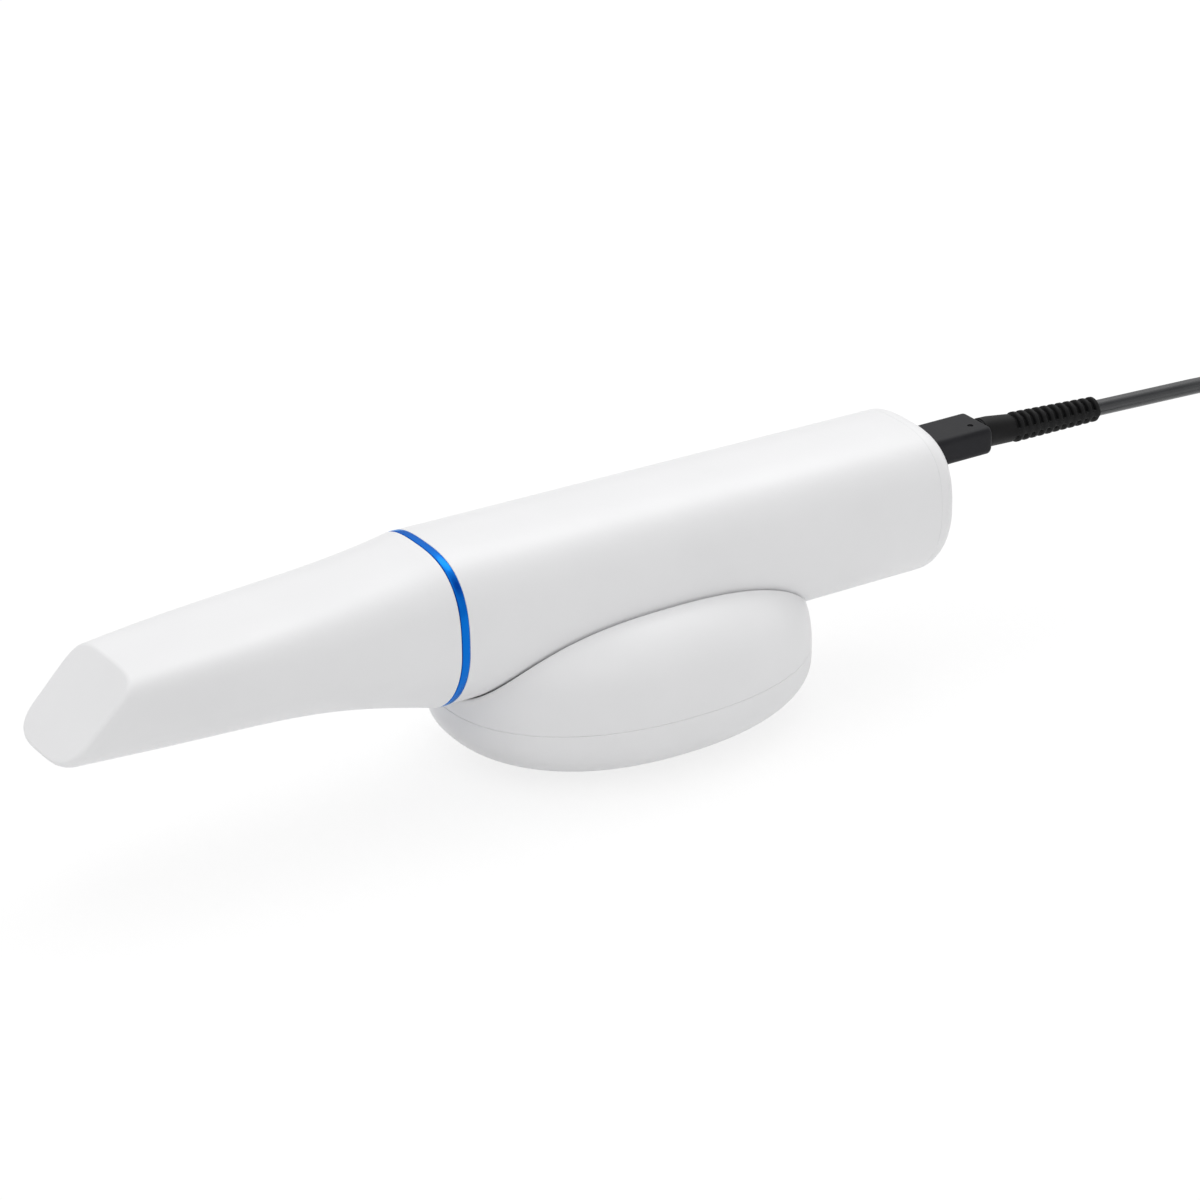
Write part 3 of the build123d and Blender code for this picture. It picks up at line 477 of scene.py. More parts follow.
def body_piece(material):
    """Body shell as one stack: front face, tapering outer wall, open rear, inner wall, inner front face."""
    start, end = RING_WIDTH, CAP_SEAM
    outer = edge_in(body_ring, start, RING_SEAM, -1)
    outer += [body_ring(x) for x in np.linspace(start + 1, end - 1, 44)]
    outer += edge_in(body_ring, end - SEAM_GAP, REAR_SEAM, 1)
    inner = [body_ring(x, BODY_WALL) for x in np.linspace(end - SEAM_GAP, CAVITY_START, 14)]
    shell = skin("handpiece_shell", capped(outer + inner), material, ["body_shell"])
    channel = rounded_outline(*BODY_CHANNEL) + (0.0, CHANNEL_LEVEL)
    slot = rounded_outline(*BUTTON_SLOT) + (BUTTON_PLACE, 0.0)
    cut(shell, [prism(channel, 0.0, CAVITY_START + 3, 0), prism(slot, -30.0, -8.0, 2)])


def cap_piece(material):
    """Rear cap: flat front, short wall, quarter-round rear edge, flat rear face with port and screw holes."""
    outer = edge_in(body_ring, CAP_SEAM + SEAM_GAP, REAR_SEAM, -1)
    outer += edge_in(body_ring, BODY_LENGTH, CAP_ROUNDING, 1, 14)
    cap = skin("rear_end_cap", capped(outer), material, ["rear_cap"])
    port = rounded_outline(*PORT) + (0.0, PLUG_LEVEL)
    hole = circle(40)
    cutters = [prism(port, CAP_SEAM - 1, BODY_LENGTH + 1, 0)]
    for side in (-1, 1):
        place = (side * SCREW_SIDE, SCREW_LEVEL)
        cutters.append(prism(hole * HEAD_HOLE + place, BODY_LENGTH - HEAD_DEPTH, BODY_LENGTH + 1, 0))
        cutters.append(prism(hole * SHANK_HOLE + place, CAP_SEAM - 1, BODY_LENGTH - 1, 0))
    cut(cap, cutters)


# Desk cradle
PEBBLE_PLACE = 53.75
PEBBLE_HALF = (46.85, 34.0)
PEBBLE_SQUARE = 2.22
WIDEST = -26.15
RISE, RISE_SQUARE = 25.46, 3.09
FALL, FALL_SQUARE = 14.55, 2.33
PARTING = -23.24
FOOT = -39.0
SIDE_GAP, FLOOR_GAP = 0.5, 0.15
RIM_ROUNDING = 0.9
PARTING_ROUNDING = 0.18
PLAN_POINTS = 256
FOOT_HALF = (25.9, 18.8)
PAD_HALF = (22.0, 15.5)
PAD_LOW, PAD_TOP, PAD_EDGE = -39.8, -38.2, 0.4
PAD_GROOVES = (2.2, 4.6, 7.0)  # insets of the grooves in the pad's underside
PAD_GROOVE = ((0.0, 0.0), (0.25, 0.3), (0.75, 0.3), (1.0, 0.0))  # place across a groove, depth


def oval_ring(turn, half_length, half_width, level):
    """Oval of the pebble's plan, a superellipse, at one level."""
    x = PEBBLE_PLACE + half_length * power(np.cos(turn), 2 / PEBBLE_SQUARE)
    y = half_width * power(np.sin(turn), 2 / PEBBLE_SQUARE)
    return np.stack(np.broadcast_arrays(x, y, level), axis=-1)


def pebble(turn, level):
    """Pebble: an oval plan, sized by one superellipse above its widest level and one below."""
    up = np.clip((level - WIDEST) / RISE, 0, 1)
    down = np.clip((WIDEST - level) / FALL, 0, 1)
    size = (1 - up**RISE_SQUARE) ** (1 / RISE_SQUARE) * (1 - down**FALL_SQUARE) ** (1 / FALL_SQUARE)
    return oval_ring(turn, PEBBLE_HALF[0] * size, PEBBLE_HALF[1] * size, level)


def saddle_sizes(x):
    """Half width and depth of the saddle's trough at x: the body's lower half with its gaps."""
    half_width, _, bottom = body_sizes(x)
    return half_width + SIDE_GAP, bottom + FLOOR_GAP


def trough(x, swing):
    """Saddle surface: the lower half of the body's section, by the angle swing from its lowest line."""
    width, depth = saddle_sizes(x)
    y = width * power(np.sin(swing), 2 / SQUARE_BOTTOM)
    z = -depth * power(np.cos(swing), 2 / SQUARE_BOTTOM)
    return np.stack([x, y, z], axis=-1)


def rim_levels(turn):
    """Level, for each plan angle, at which the pebble's side meets the saddle, by halving."""
    low, high = np.full_like(turn, PARTING), np.full_like(turn, WIDEST + RISE * 0.985)
    for _ in range(50):
        middle = (low + high) / 2
        x, y, z = np.moveaxis(pebble(turn, middle), -1, 0)
        width, depth = saddle_sizes(x)
        outside = np.abs(y / width) ** SQUARE_BOTTOM + np.abs(z / depth) ** SQUARE_BOTTOM > 1
        low, high = np.where(outside, middle, low), np.where(outside, high, middle)
    return (low + high) / 2


def cradle_upper(material):
    """Upper moulding: pebble side from the parting line to the rim, a rolled rim, and the saddle's trough."""
    turn = round_angles(PLAN_POINTS)
    rim_level = rim_levels(turn)
    rim = pebble(turn, rim_level)
    depth = saddle_sizes(rim[:, 0])[1]
    swing = np.sign(rim[:, 1]) * np.arccos(np.clip((-rim[:, 2] / depth) ** (SQUARE_BOTTOM / 2), 0, 1))

    def inward(share):
        """Trough point at a share of the way from the rim to the saddle's middle."""
        return trough(PEBBLE_PLACE + (rim[:, 0] - PEBBLE_PLACE) * (1 - share), swing * (1 - share))

    small = 1e-3
    rate = np.linalg.norm(pebble(turn, rim_level - small) - rim, axis=-1) / small
    below = rim_level - RIM_ROUNDING / rate
    inner_rate = np.linalg.norm(inward(small) - inward(0.0), axis=-1) / small
    inner_share = RIM_ROUNDING / inner_rate
    bottom = PARTING + PARTING_ROUNDING
    shares = np.sin(np.linspace(0, np.pi / 2, 49))
    side = [pebble(turn, bottom + (below - bottom) * share) for share in shares]
    before, after = side[-1], inward(inner_share)
    lip = []
    for share in np.linspace(0, 1, 9)[1:]:
        lip.append((1 - share) ** 2 * before + 2 * share * (1 - share) * rim + share**2 * after)
    floor = [inward(inner_share + (1 - inner_share) * share) for share in np.linspace(0, 0.97, 40)[1:]]
    seam = parting_edge(turn, 1)
    stack = disc(seam[0])[::-1] + seam + side + lip + floor
    skin("cradle_upper", stack, material, ["cradle_shell"])


def parting_edge(turn, side, steps=4):
    """Rounded edge at the parting line: the oval shrinks along a quarter circle towards the seam's plane."""
    rings = []
    for s, c in zip(*quarter(steps)):
        ring = pebble(turn, np.full_like(turn, PARTING + side * PARTING_ROUNDING * (1 - s)))
        shrink = 1 - PARTING_ROUNDING * (1 - c) / PEBBLE_HALF[1]
        ring[:, :2] = (ring[:, :2] - [PEBBLE_PLACE, 0]) * shrink + [PEBBLE_PLACE, 0]
        rings.append(ring)
    return rings[::-1]


def cradle_lower(material):
    """Lower moulding: seam edge, pebble side down to the foot, flat underside with the pad's recess."""
    turn = round_angles(PLAN_POINTS)
    seam = parting_edge(turn, -1)
    top = PARTING - PARTING_ROUNDING
    low = np.arange(1, 41) / 40
    side = [pebble(turn, np.full_like(turn, top + (FOOT + 0.4 - top) * share)) for share in low]
    rows = [(FOOT_HALF, 0.25, 0.1), (FOOT_HALF, -0.6, 0.0)]  # plan, growth of it, height above the foot
    rows += [(PAD_HALF, 0.2, 0.0), (PAD_HALF, 0.1, 0.1), (PAD_HALF, 0.1, 0.8)]
    under = [oval_ring(turn, a + grow, b + grow, FOOT + up) for (a, b), grow, up in rows]
    skin("cradle_lower", capped(seam + side + under), material, ["cradle_base"])


def foot_piece(material):
    """Foot pad: oval slab with a rounded lower edge and three shallow grooves in its underside."""
    turn = round_angles(PLAN_POINTS)

    def pad_ring(level, inset=0.0):
        """Ring of the pad at one level, inset all round."""
        return oval_ring(turn, PAD_HALF[0] - inset, PAD_HALF[1] - inset, level)

    rings = [pad_ring(PAD_TOP)] + edge_in(pad_ring, PAD_LOW, PAD_EDGE, -1)[::-1]
    for start in PAD_GROOVES:
        rings += [pad_ring(PAD_LOW + depth, start + step) for step, depth in PAD_GROOVE]
    skin("cradle_foot", capped(rings), material, ["foot_pad"])


# Plug, strain relief and cable
PLUG_HALF = (6.0, 3.5)
PLUG_EDGE, PLUG_CORNER = 1.3, 1.6
PLUG_RISE = 0.12  # of the grip above the plug's level
PLUG_MAIN = 19.7
PLUG_LENGTH = 22.6
DIMPLE = (151.6, -2.0, 0.75, 0.3)  # x and y of the small mark on the grip's top, radius, depth
NECK_LENGTH = 6.3
NECK_ROOT, NECK_TIP, NECK_LIFT = 3.68, 3.4, 0.35
NECK_DROP = 0.6  # of the relief's axis below the plug's level
NECK_SUNK = -2.6  # where the neck starts, inside the plug
RELIEF_LENGTH, RELIEF_ROOT, RELIEF_TIP = 26.3, 3.72, 3.05
RIBS = 11
RIB_HEIGHT, SPINE_GAP = 0.9, 0.12
SPINE_SINE, SPINE_FADE = 0.36, 0.14  # sine of the spine's half angle, and the sine over which it fades
RIB_SHAPE = (  # place within one pitch, height of the rib there
    (0.05, 0.0), (0.43, 0.0), (0.48, 0.55), (0.54, 0.87),
    (0.61, 1.0), (0.86, 1.0), (0.93, 0.87), (0.98, 0.55),
)
RIB_SHARP_DEG = 50.0
DROOP = math.radians(2.4)
CABLE_RADIUS = 2.0


def box_ring(x, half_width, half_height, corner, level=0.0):
    """Rounded rectangle across X."""
    flat = rounded_outline(half_width, half_height, corner)
    return np.column_stack([np.full(len(flat), x), flat[:, 0], flat[:, 1] + level])


def plug_piece(material):
    """Plug grip: a rounded bar with a rounded rear edge, the root of the neck, and a small pit in its top."""
    width, height = PLUG_HALF
    start, step_at, end = BODY_LENGTH, BODY_LENGTH + PLUG_MAIN, BODY_LENGTH + PLUG_LENGTH
    level = PLUG_LEVEL + PLUG_RISE

    def grip_ring(x, inset=0.0):
        """Ring of the grip at x, inset all round."""
        return box_ring(x, width - inset, height - inset, PLUG_CORNER, level)

    rings = [grip_ring(x) for x in (start + 0.05, start + 8, step_at - 2.2)]
    rings += edge_in(grip_ring, step_at, PLUG_EDGE, 1, 7)
    neck = NECK_ROOT - 0.1
    for x in (step_at, step_at + 0.6, end):
        rings.append(box_ring(x, neck, neck, neck - 0.02, PLUG_LEVEL + NECK_LIFT - NECK_DROP))
    grip = skin("plug_grip", capped(rings), material, ["plug_body"])
    x, y, radius, depth = DIMPLE
    pit = circle(24) * radius + (x, y)
    cut(grip, [prism(pit, level + height - depth, level + height + 1, 2)])


def relief_axis(along):
    """Points on the strain relief's axis, which droops a little from the rear of the plug."""
    along = np.asarray(along, float)
    x = BODY_LENGTH + PLUG_LENGTH + along * math.cos(DROOP)
    z = PLUG_LEVEL - NECK_DROP - along * math.sin(DROOP)
    return np.stack([x, np.zeros_like(x), z], axis=-1)


def relief_piece(material):
    """Strain relief: a drafted neck, then ribs that taper, joined by a spine along each side.

    The radius at a place and an angle is the outer cone less the gap's depth. The gap is deep above and
    below, and almost closed at the two sides, where the spines run.
    """
    pitch = (RELIEF_LENGTH - 0.5) / RIBS
    rows = [(NECK_SUNK, NECK_ROOT, 1.0), (0.0, NECK_ROOT, 1.0), (NECK_LENGTH - 0.15, NECK_TIP, 1.0)]
    for rib in range(RIBS):
        for place, height in RIB_SHAPE:
            count = rib + place
            outer = RELIEF_ROOT + (RELIEF_TIP - RELIEF_ROOT) * count / RIBS
            rows.append((NECK_LENGTH + pitch * count, outer, height))
    end = NECK_LENGTH + RELIEF_LENGTH
    rows += [(end - 0.4, RELIEF_TIP - 0.45, 1.0), (end - 0.2, CABLE_RADIUS + 0.3, 1.0)]
    rows += [(end, CABLE_RADIUS + 0.04, 1.0)]
    along, outer, height = np.array(rows).T
    turn = round_angles(96)
    side = smooth(np.clip((SPINE_SINE - np.abs(np.sin(turn))) / SPINE_FADE, 0, 1))
    gap = RIB_HEIGHT + (SPINE_GAP - RIB_HEIGHT) * side
    radius = outer[:, None] - (1 - height[:, None]) * gap[None, :]
    centre = relief_axis(along)
    centre[:, 2] += NECK_LIFT * np.clip(1 - along / NECK_LENGTH, 0, 1)
    across = np.array([0.0, 1.0, 0.0])
    upward = np.array([math.sin(DROOP), 0.0, math.cos(DROOP)])
    spoke = np.cos(turn)[:, None] * across + np.sin(turn)[:, None] * upward
    rings = centre[:, None, :] + radius[..., None] * spoke[None]
    skin("relief_sleeve", rings, material, ["strain_relief"], sharp_deg=RIB_SHARP_DEG)


# The cable's route in the row frame, in millimetres: out of the strain relief, down to the coil, round it,
# and to the far plug
RUN = [
    (169.57, 0.0, 46.86),
    (194.15, 0.0, 45.83),
    (207.24, 0.0, 45.28),
    (220.0, -0.3, 42.2),
    (231.0, -0.5, 34.9),
    (241.5, -0.6, 26.2),
    (253.0, -0.4, 19.0),
    (265.0, -0.1, 15.45),
]
TAIL = [(263.0, -52.3, 3.15), (253.0, -53.0, 3.9), (241.0, -53.3, 4.0), (228.0, -53.3, 4.0)]
COIL_PLACE = (272.0, -26.0)
COIL_COLUMNS = (26.1, 22.0, 17.9)
COIL_LEVELS = (15.25, 11.15, 7.05, 2.95)
TURN_POINTS = 18
SHIFT_FROM, SHIFT_TO = 170.0, 340.0  # degrees of each turn over which it moves to the next place
BULGE, SWELL = 1.45, 0.75  # of a turn that changes level, and of the whole bundle there


def coil_points():
    """Turns of the coil, clockwise from its north side.

    Each turn has its own radius and level, moves over to the next place in one sector, and bulges there.
    """
    radii, levels = [], []
    for layer, level in enumerate(COIL_LEVELS):
        radii += COIL_COLUMNS if layer % 2 == 0 else COIL_COLUMNS[::-1]
        levels += [level] * len(COIL_COLUMNS)
    radii, levels = np.array(radii + radii[-1:]), np.array(levels + levels[-1:])
    count = int((len(radii) - 1.5) * TURN_POINTS)
    at = np.arange(count + 1) * 360.0 / TURN_POINTS
    turn = (at // 360).astype(int)
    share = smooth(np.clip((at % 360 - SHIFT_FROM) / (SHIFT_TO - SHIFT_FROM), 0, 1))
    radius = radii[turn] + (radii[turn + 1] - radii[turn]) * share
    level = levels[turn] + (levels[turn + 1] - levels[turn]) * share
    down = levels[turn + 1] != levels[turn]
    side = np.where(radii[turn] > COIL_COLUMNS[1], 1.0, -1.0)
    radius = radius + (SWELL + np.where(down, side * BULGE, 0.0)) * np.sin(np.pi * share) ** 2
    radius = radius / math.cos(math.pi / TURN_POINTS)
    angle = np.radians(90.0 - at)
    x = COIL_PLACE[0] + radius * np.cos(angle)
    y = COIL_PLACE[1] + radius * np.sin(angle)
    return np.stack([x, y, level], axis=-1)


def cable_piece(material):
    """The cable: one NURBS line through the run, the coil's turns and the tail, as thick as the jacket."""
    route = np.vstack([RUN, coil_points(), TAIL]) * MM
    curve = bpy.data.curves.new("cable", "CURVE")
    curve.dimensions = "3D"
    line = curve.splines.new("NURBS")
    line.points.add(len(route) - 1)
    line.points.foreach_set("co", np.column_stack([route, np.ones(len(route))]).ravel())
    line.order_u = 3
    line.use_endpoint_u = True
    line.resolution_u = 5
    curve.bevel_depth = CABLE_RADIUS * MM
    curve.bevel_resolution = 5
    curve.use_fill_caps = True
    curve.materials.append(material)
    cable = placed("cable", curve)
    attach(cable, "handpiece")
    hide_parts("cable_run", "cable_coil", "cable_tail")


MERGE_M = 1e-6  # points of a CAD mesh closer than this are one


def keep_node(name, material):
    """A CAD node whose shape is right keeps its mesh, and gets its own finish."""
    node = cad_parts[name]
    node.data.materials.clear()
    node.data.materials.append(material)
    return node


def smooth_copy(name, material, body="handpiece"):
    """Merged copy of a CAD node, smooth over its curved faces, in place of the node."""
    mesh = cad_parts[name].data.copy()
    shape = bmesh.new()
    shape.from_mesh(mesh)
    bmesh.ops.remove_doubles(shape, verts=shape.verts, dist=MERGE_M)
    shape.to_mesh(mesh)
    shape.free()
    piece = placed(name + "_finish", mesh)
    settle(piece, material, body, [name])


# Nose that carries the tip, its soft band, and the screws in the rear face
COLLAR_SECTION = (16.5, 16.6, 15.0)
ROOT_SECTION = (15.0, 15.1, 13.5)
SNOUT_SECTION = (11.9, 12.0, 7.5)
COLLAR_FRONT, SNOUT_FRONT = -8.0, -46.0
BAND_FROM, BAND_TO, BAND_DEPTH = -5.2, -3.4, 1.0
CHANNEL = (10.0, 5.5, 4.0)  # half width, half height, corner
COLLAR_EDGE, SNOUT_EDGE = 0.5, 0.9
GLASS_SEAT = (10.85, 6.35, 4.8)
GLASS_DEPTH = 1.5


def collar_ring(x, inset=0.0):
    """Ring of the collar's egg section at x, inset all round."""
    return egg_ring(x, [size - inset for size in COLLAR_SECTION])


def snout_ring(x, inset=0.0):
    """Ring of the tapered snout: its root section blends straight into its front section along x."""
    share = (x - COLLAR_FRONT) / (SNOUT_FRONT - COLLAR_FRONT)
    size = [a + share * (b - a) - inset for a, b in zip(ROOT_SECTION, SNOUT_SECTION)]
    return egg_ring(x, size, SQUARE_BOTTOM + share * (SQUARE_TOP - SQUARE_BOTTOM))


def nose_piece(material):
    """Nose: collar with the band's groove, a step, then the tapered snout with a rounded front edge."""
    collar = [collar_ring(x) for x in (RING_WIDTH, 0.0, BAND_TO)]
    collar += [collar_ring(x, BAND_DEPTH) for x in (BAND_TO, BAND_FROM)]
    collar += [collar_ring(BAND_FROM)] + edge_in(collar_ring, COLLAR_FRONT, COLLAR_EDGE, -1)[::-1]
    snout = [snout_ring(x) for x in np.linspace(COLLAR_FRONT, SNOUT_FRONT + 1.2, 24)]
    snout += edge_in(snout_ring, SNOUT_FRONT, SNOUT_EDGE, -1, 6)[::-1]
    nose = skin("nose_snout", capped(collar + snout), material, ["nose_barrel"])
    middle = (0.0, CHANNEL_LEVEL)
    channel = prism(rounded_outline(*CHANNEL) + middle, SNOUT_FRONT - 1, 3.0, 0)
    seat = prism(rounded_outline(*GLASS_SEAT) + middle, SNOUT_FRONT - 1, SNOUT_FRONT + GLASS_DEPTH, 0)
    cut(nose, [channel, seat])


def band_piece(material):
    """Soft band in the collar's groove: a closed loop of rings with a slightly crowned outer face."""
    across = np.linspace(-1, 1, 9)
    middle, half = (BAND_FROM + BAND_TO) / 2, (BAND_TO - BAND_FROM) / 2
    outer = [collar_ring(middle + half * share, 0.35 * share**4 - 0.1) for share in across]
    inner = [collar_ring(middle + half * share, BAND_DEPTH) for share in across[::-1]]
    skin("nose_band", outer + inner, material, ["retainer_band"], loop=True)


SCREW_START = 119.5
SCREW_PROFILE = (  # place along the screw from its point, radius
    (0.0, 0.7), (0.5, 1.1), (14.7, 1.1), (14.7, 2.0),
    (14.8, 2.1), (15.9, 2.1), (16.2, 2.0), (16.3, 1.8),
)
HEX_RADIUS, HEX_DEPTH = 1.1, 0.9


def cap_screw(side, material, replaces):
    """Cap screw in the rear face: a profile turned about its axis, with a hexagon socket in its head."""
    spoke = np.insert(circle(48), 0, 0.0, axis=1)
    centre = np.array([SCREW_START, side * SCREW_SIDE, SCREW_LEVEL])
    rings = [centre + (along, 0, 0) + radius * spoke for along, radius in SCREW_PROFILE]
    name = "cap_screw_left" if side < 0 else "cap_screw_right"
    screw = skin(name, rings, material, replaces)
    hexagon = circle(6) * HEX_RADIUS + centre[1:]
    face = SCREW_START + SCREW_PROFILE[-1][0]
    cut(screw, [prism(hexagon, face - HEX_DEPTH, face + 1, 0)])


# Far plug, in the row frame: its grip starts at the cable's end and points towards -X
FAR_PLACE = np.array([230.0, -53.3, 4.0])
GRIP_PROFILE = (  # place along the grip, half width, half height, corner
    (0.0, 3.6, 2.6, 2.5),
    (0.5, 4.3, 3.0, 2.9),
    (1.6, 5.8, 3.5, 2.6),
    (3.0, 7.0, 3.86, 2.2),
    (4.6, 7.65, 3.98, 2.0),
    (6.5, 7.8, 4.0, 2.0),
)
GRIP_LENGTH = 30.0
GROOVE_FROM, GROOVE_PITCH, GROOVES = 10.0, 2.2, 6
GROOVE_DEPTH = 0.4
GROOVE_SHAPE = (  # place across a groove, share of its depth
    (0.0, 0.0), (0.25, 0.8), (0.5, 1.0), (0.9, 1.0), (1.15, 0.8), (1.4, 0.0),
)
GRIP_EDGE = 0.8
SHELL_LENGTH = 18.7
SHELL_HALF = (6.0, 2.25)
SHELL_SHEET, SHELL_CORNER = 0.35, 0.8
HOLE_PLACES = [(38.2, -2.9), (38.2, 2.9)]
HOLE_HALF = (1.25, 1.1)
CONTACT_SIDES = (-3.5, -1.2, 1.2, 3.5)
CONTACT_HALF, CONTACT_RISE = 0.55, 0.14
CONTACT_FROM, CONTACT_TO = 36.5, 46.8
CONTACT_SHAPE = (  # place along a contact strip, share of its rise
    (CONTACT_FROM, 1.0),
    (CONTACT_TO - 1.0, 1.0),
    (CONTACT_TO - 0.4, 0.8),
    (CONTACT_TO, 0.1),
)
CONTACT_SUNK = 0.2


def far_ring(along, *sizes):
    """Rounded rectangle across the far plug at a place along it."""
    return box_ring(-along, *sizes)


def far_grip(material):
    """Far plug's grip: a bar that swells from the cable, with grooves round it and a rounded front edge."""
    half_width, half_height, corner = GRIP_PROFILE[-1][1:]

    def full_ring(along, inset):
        """Ring of the grip's full size, inset all round."""
        return far_ring(along, half_width - inset, half_height - inset, corner)

    rings = [far_ring(*row) for row in GRIP_PROFILE]
    for groove in range(GROOVES):
        start = GROOVE_FROM + groove * GROOVE_PITCH
        rings += [full_ring(start + step, GROOVE_DEPTH * depth) for step, depth in GROOVE_SHAPE]
    rings += edge_in(full_ring, GRIP_LENGTH, GRIP_EDGE, 1, 6)
    stands_for = ["host_plug_grip"]
    return skin("far_plug_grip", capped(rings), material, stands_for, shift=FAR_PLACE)


def far_shell(material):
    """Far plug's folded shell: a closed loop of rounded rectangles, outer then inner, with latch holes."""
    start, end, sheet = GRIP_LENGTH - 0.5, GRIP_LENGTH + SHELL_LENGTH, SHELL_SHEET
    width, height = SHELL_HALF
    outer = [(start, 0.0), (end - 0.3, 0.0), (end - 0.08, 0.05), (end, 0.16)]
    inner = [(end, 0.26), (end - 0.3, sheet), (start, sheet)]
    rows = outer + inner
    rings = [far_ring(x, width - inset, height - inset, SHELL_CORNER - inset) for x, inset in rows]
    stands_for = ["host_plug_shell"]
    shell = skin("far_plug_shell", rings, material, stands_for, loop=True, shift=FAR_PLACE)
    cutters = []
    for along, side in HOLE_PLACES:
        hole = rounded_outline(*HOLE_HALF, 0.2) + (-along, side)
        cutters += [prism(hole, level, level + 1.2, 2, FAR_PLACE) for level in (height - 0.7, -height - 0.5)]
    cut(shell, cutters)
    return shell


def far_contacts(material):
    """Four contact strips on the far plug's insert: flat bars whose front end dips."""
    pieces = []
    for number, side in enumerate(CONTACT_SIDES, 1):
        rings = []
        for along, rise in CONTACT_SHAPE:
            top = CONTACT_RISE * rise
            ring = far_ring(along, CONTACT_HALF, (top + CONTACT_SUNK) / 2, 0.06, (top - CONTACT_SUNK) / 2)
            rings.append(ring + (0, side, 0))
        name = f"far_contact_{number}"
        pieces.append(skin(name, rings, material, shift=FAR_PLACE))
    return pieces


# Strap round the coil, in the row frame
STRAP_HALF = (6.77, 8.67)  # middle of its thickness, out from the middle of the coil's bundle
STRAP_CORNER = 1.7
STRAP_THICK, STRAP_WIDTH, STRAP_EDGE = 0.8, 12.0, 0.3
STRAP_LEVEL = 9.1
LAP_FROM, LAP_SPAN, LAP_RISE = 0.80, 0.42, 0.55  # shares of the outline: outer side and top


def strap_piece(material):
    """Strap: a thin rounded bar carried round the bundle's outline, its end lapped outside and on top."""
    outline = rounded_outline(*STRAP_HALF, STRAP_CORNER, 10)
    ahead, behind = np.roll(outline, -1, axis=0), np.roll(outline, 1, axis=0)
    tangent = ahead - behind
    normal = np.stack([tangent[:, 1], -tangent[:, 0]], -1)
    normal /= np.linalg.norm(normal, axis=-1, keepdims=True)
    fine = np.linspace(0, 1, 241)[:-1]
    step = np.linalg.norm(ahead - outline, axis=-1)
    along = np.concatenate([[0], np.cumsum(step)]) / step.sum()
    path, out = (
        np.column_stack([np.interp(fine, along, np.append(row, row[0])) for row in rows.T])
        for rows in (outline, normal)
    )
    lap = np.where((fine - LAP_FROM) % 1.0 < LAP_SPAN, LAP_RISE, 0.0)
    section = rounded_outline(STRAP_WIDTH / 2, STRAP_THICK / 2, STRAP_EDGE, 4)
    rise = section[None, :, 1] + np.where(section[None, :, 1] > 0, lap[:, None], 0.0)
    radial = COIL_COLUMNS[1] + path[:, 0, None] + out[:, 0, None] * rise
    level = STRAP_LEVEL + path[:, 1, None] + out[:, 1, None] * rise
    turn = section[None, :, 0] / COIL_COLUMNS[1]
    x = COIL_PLACE[0] + radial * np.cos(turn)
    y = COIL_PLACE[1] + radial * np.sin(turn)
    rings = np.stack([x, y, level + 0.0 * turn], axis=-1)
    return skin("coil_strap", rings, material, ["coil_tie"], loop=True, shift=0.0)


white = white_abs()
blue = pearl_blue()
black_plastic = black_moulding(
    "black moulded plastic", ("#1a1a1d", "#212125"), (0.45, 0.55), 0.5, 0.02, Specular_IOR_Level=0.2
)
black_rubber = black_moulding(
    "black elastomer", ("#0b0b0c", "#111112"), (0.46, 0.58), 0.6, 0.02, Specular_IOR_Level=0.2
)
jacket = black_moulding("extruded cable jacket", ("#333436", "#3b3c3e"), (0.22, 0.28), 0.7, 0.012, IOR=1.55)
mirror = plain_metal("front-surface mirror", "#e6eaec", 0.04, 9.0, 0.001)
glass = clear_glass()
cast_metal = plain_metal("die-cast aluminium", "#b9bbbf", 0.42, 0.5, 0.02)
board_green = black_moulding("green solder mask", ("#0d5a33", "#0a4c2a"), (0.30, 0.40), 0.6, 0.01)
chip_black = black_moulding("chip moulding compound", ("#1b1b1d", "#262628"), (0.5, 0.6), 0.3, 0.01)
steel = plain_metal("nickel-plated steel", "#c3c4c6", 0.26, 0.6, 0.006)
gold = plain_metal("gold-plated contact", "#e3bf6a", 0.22, 0.6, 0.004)
insert_blue = black_moulding("blue moulded insulator", ("#1d4fa8", "#1a489a"), (0.4, 0.48), 0.5, 0.01)
strap_weave = woven_nylon("black woven nylon", ("#151518", "#1f1f23"), 0.9)

strap = strap_piece(strap_weave)
grip = far_grip(black_plastic)
shell = far_shell(steel)
contacts = far_contacts(gold)
insert = keep_node("host_plug_insert", insert_blue)
cable_piece(jacket)

scan_tip(white)
ring_band(blue)
body_piece(white)
cap_piece(white)
cap_screw(-1, steel, ["cap_screws"])
cap_screw(1, steel, ())
nose_piece(black_plastic)
band_piece(black_rubber)
cradle_upper(white)
cradle_lower(white)
foot_piece(black_rubber)
plug_piece(black_plastic)
relief_piece(black_rubber)
smooth_copy("scan_button", white, "button")
for lens in ("projector_lens", "camera_lens"):
    smooth_copy(lens, glass)
for barrel in ("projector_barrel", "camera_barrel"):
    smooth_copy(barrel, black_plastic)

KEPT = {
    mirror: ["tip_mirror"],
    glass: ["nose_window"],
    cast_metal: ["optics_frame", "led_heat_sink", "heat_spreader"],
    board_green: ["sensor_board", "led_board", "main_board", "button_board"],
    chip_black: ["image_sensor", "led_emitter", "processor", "button_switch"],
    steel: ["cable_socket", "plug_tongue", "frame_screws", "board_screws", "cradle_screws", "cradle_ballast"],
}
for material, names in KEPT.items():
    for name in names:
        keep_node(name, material)


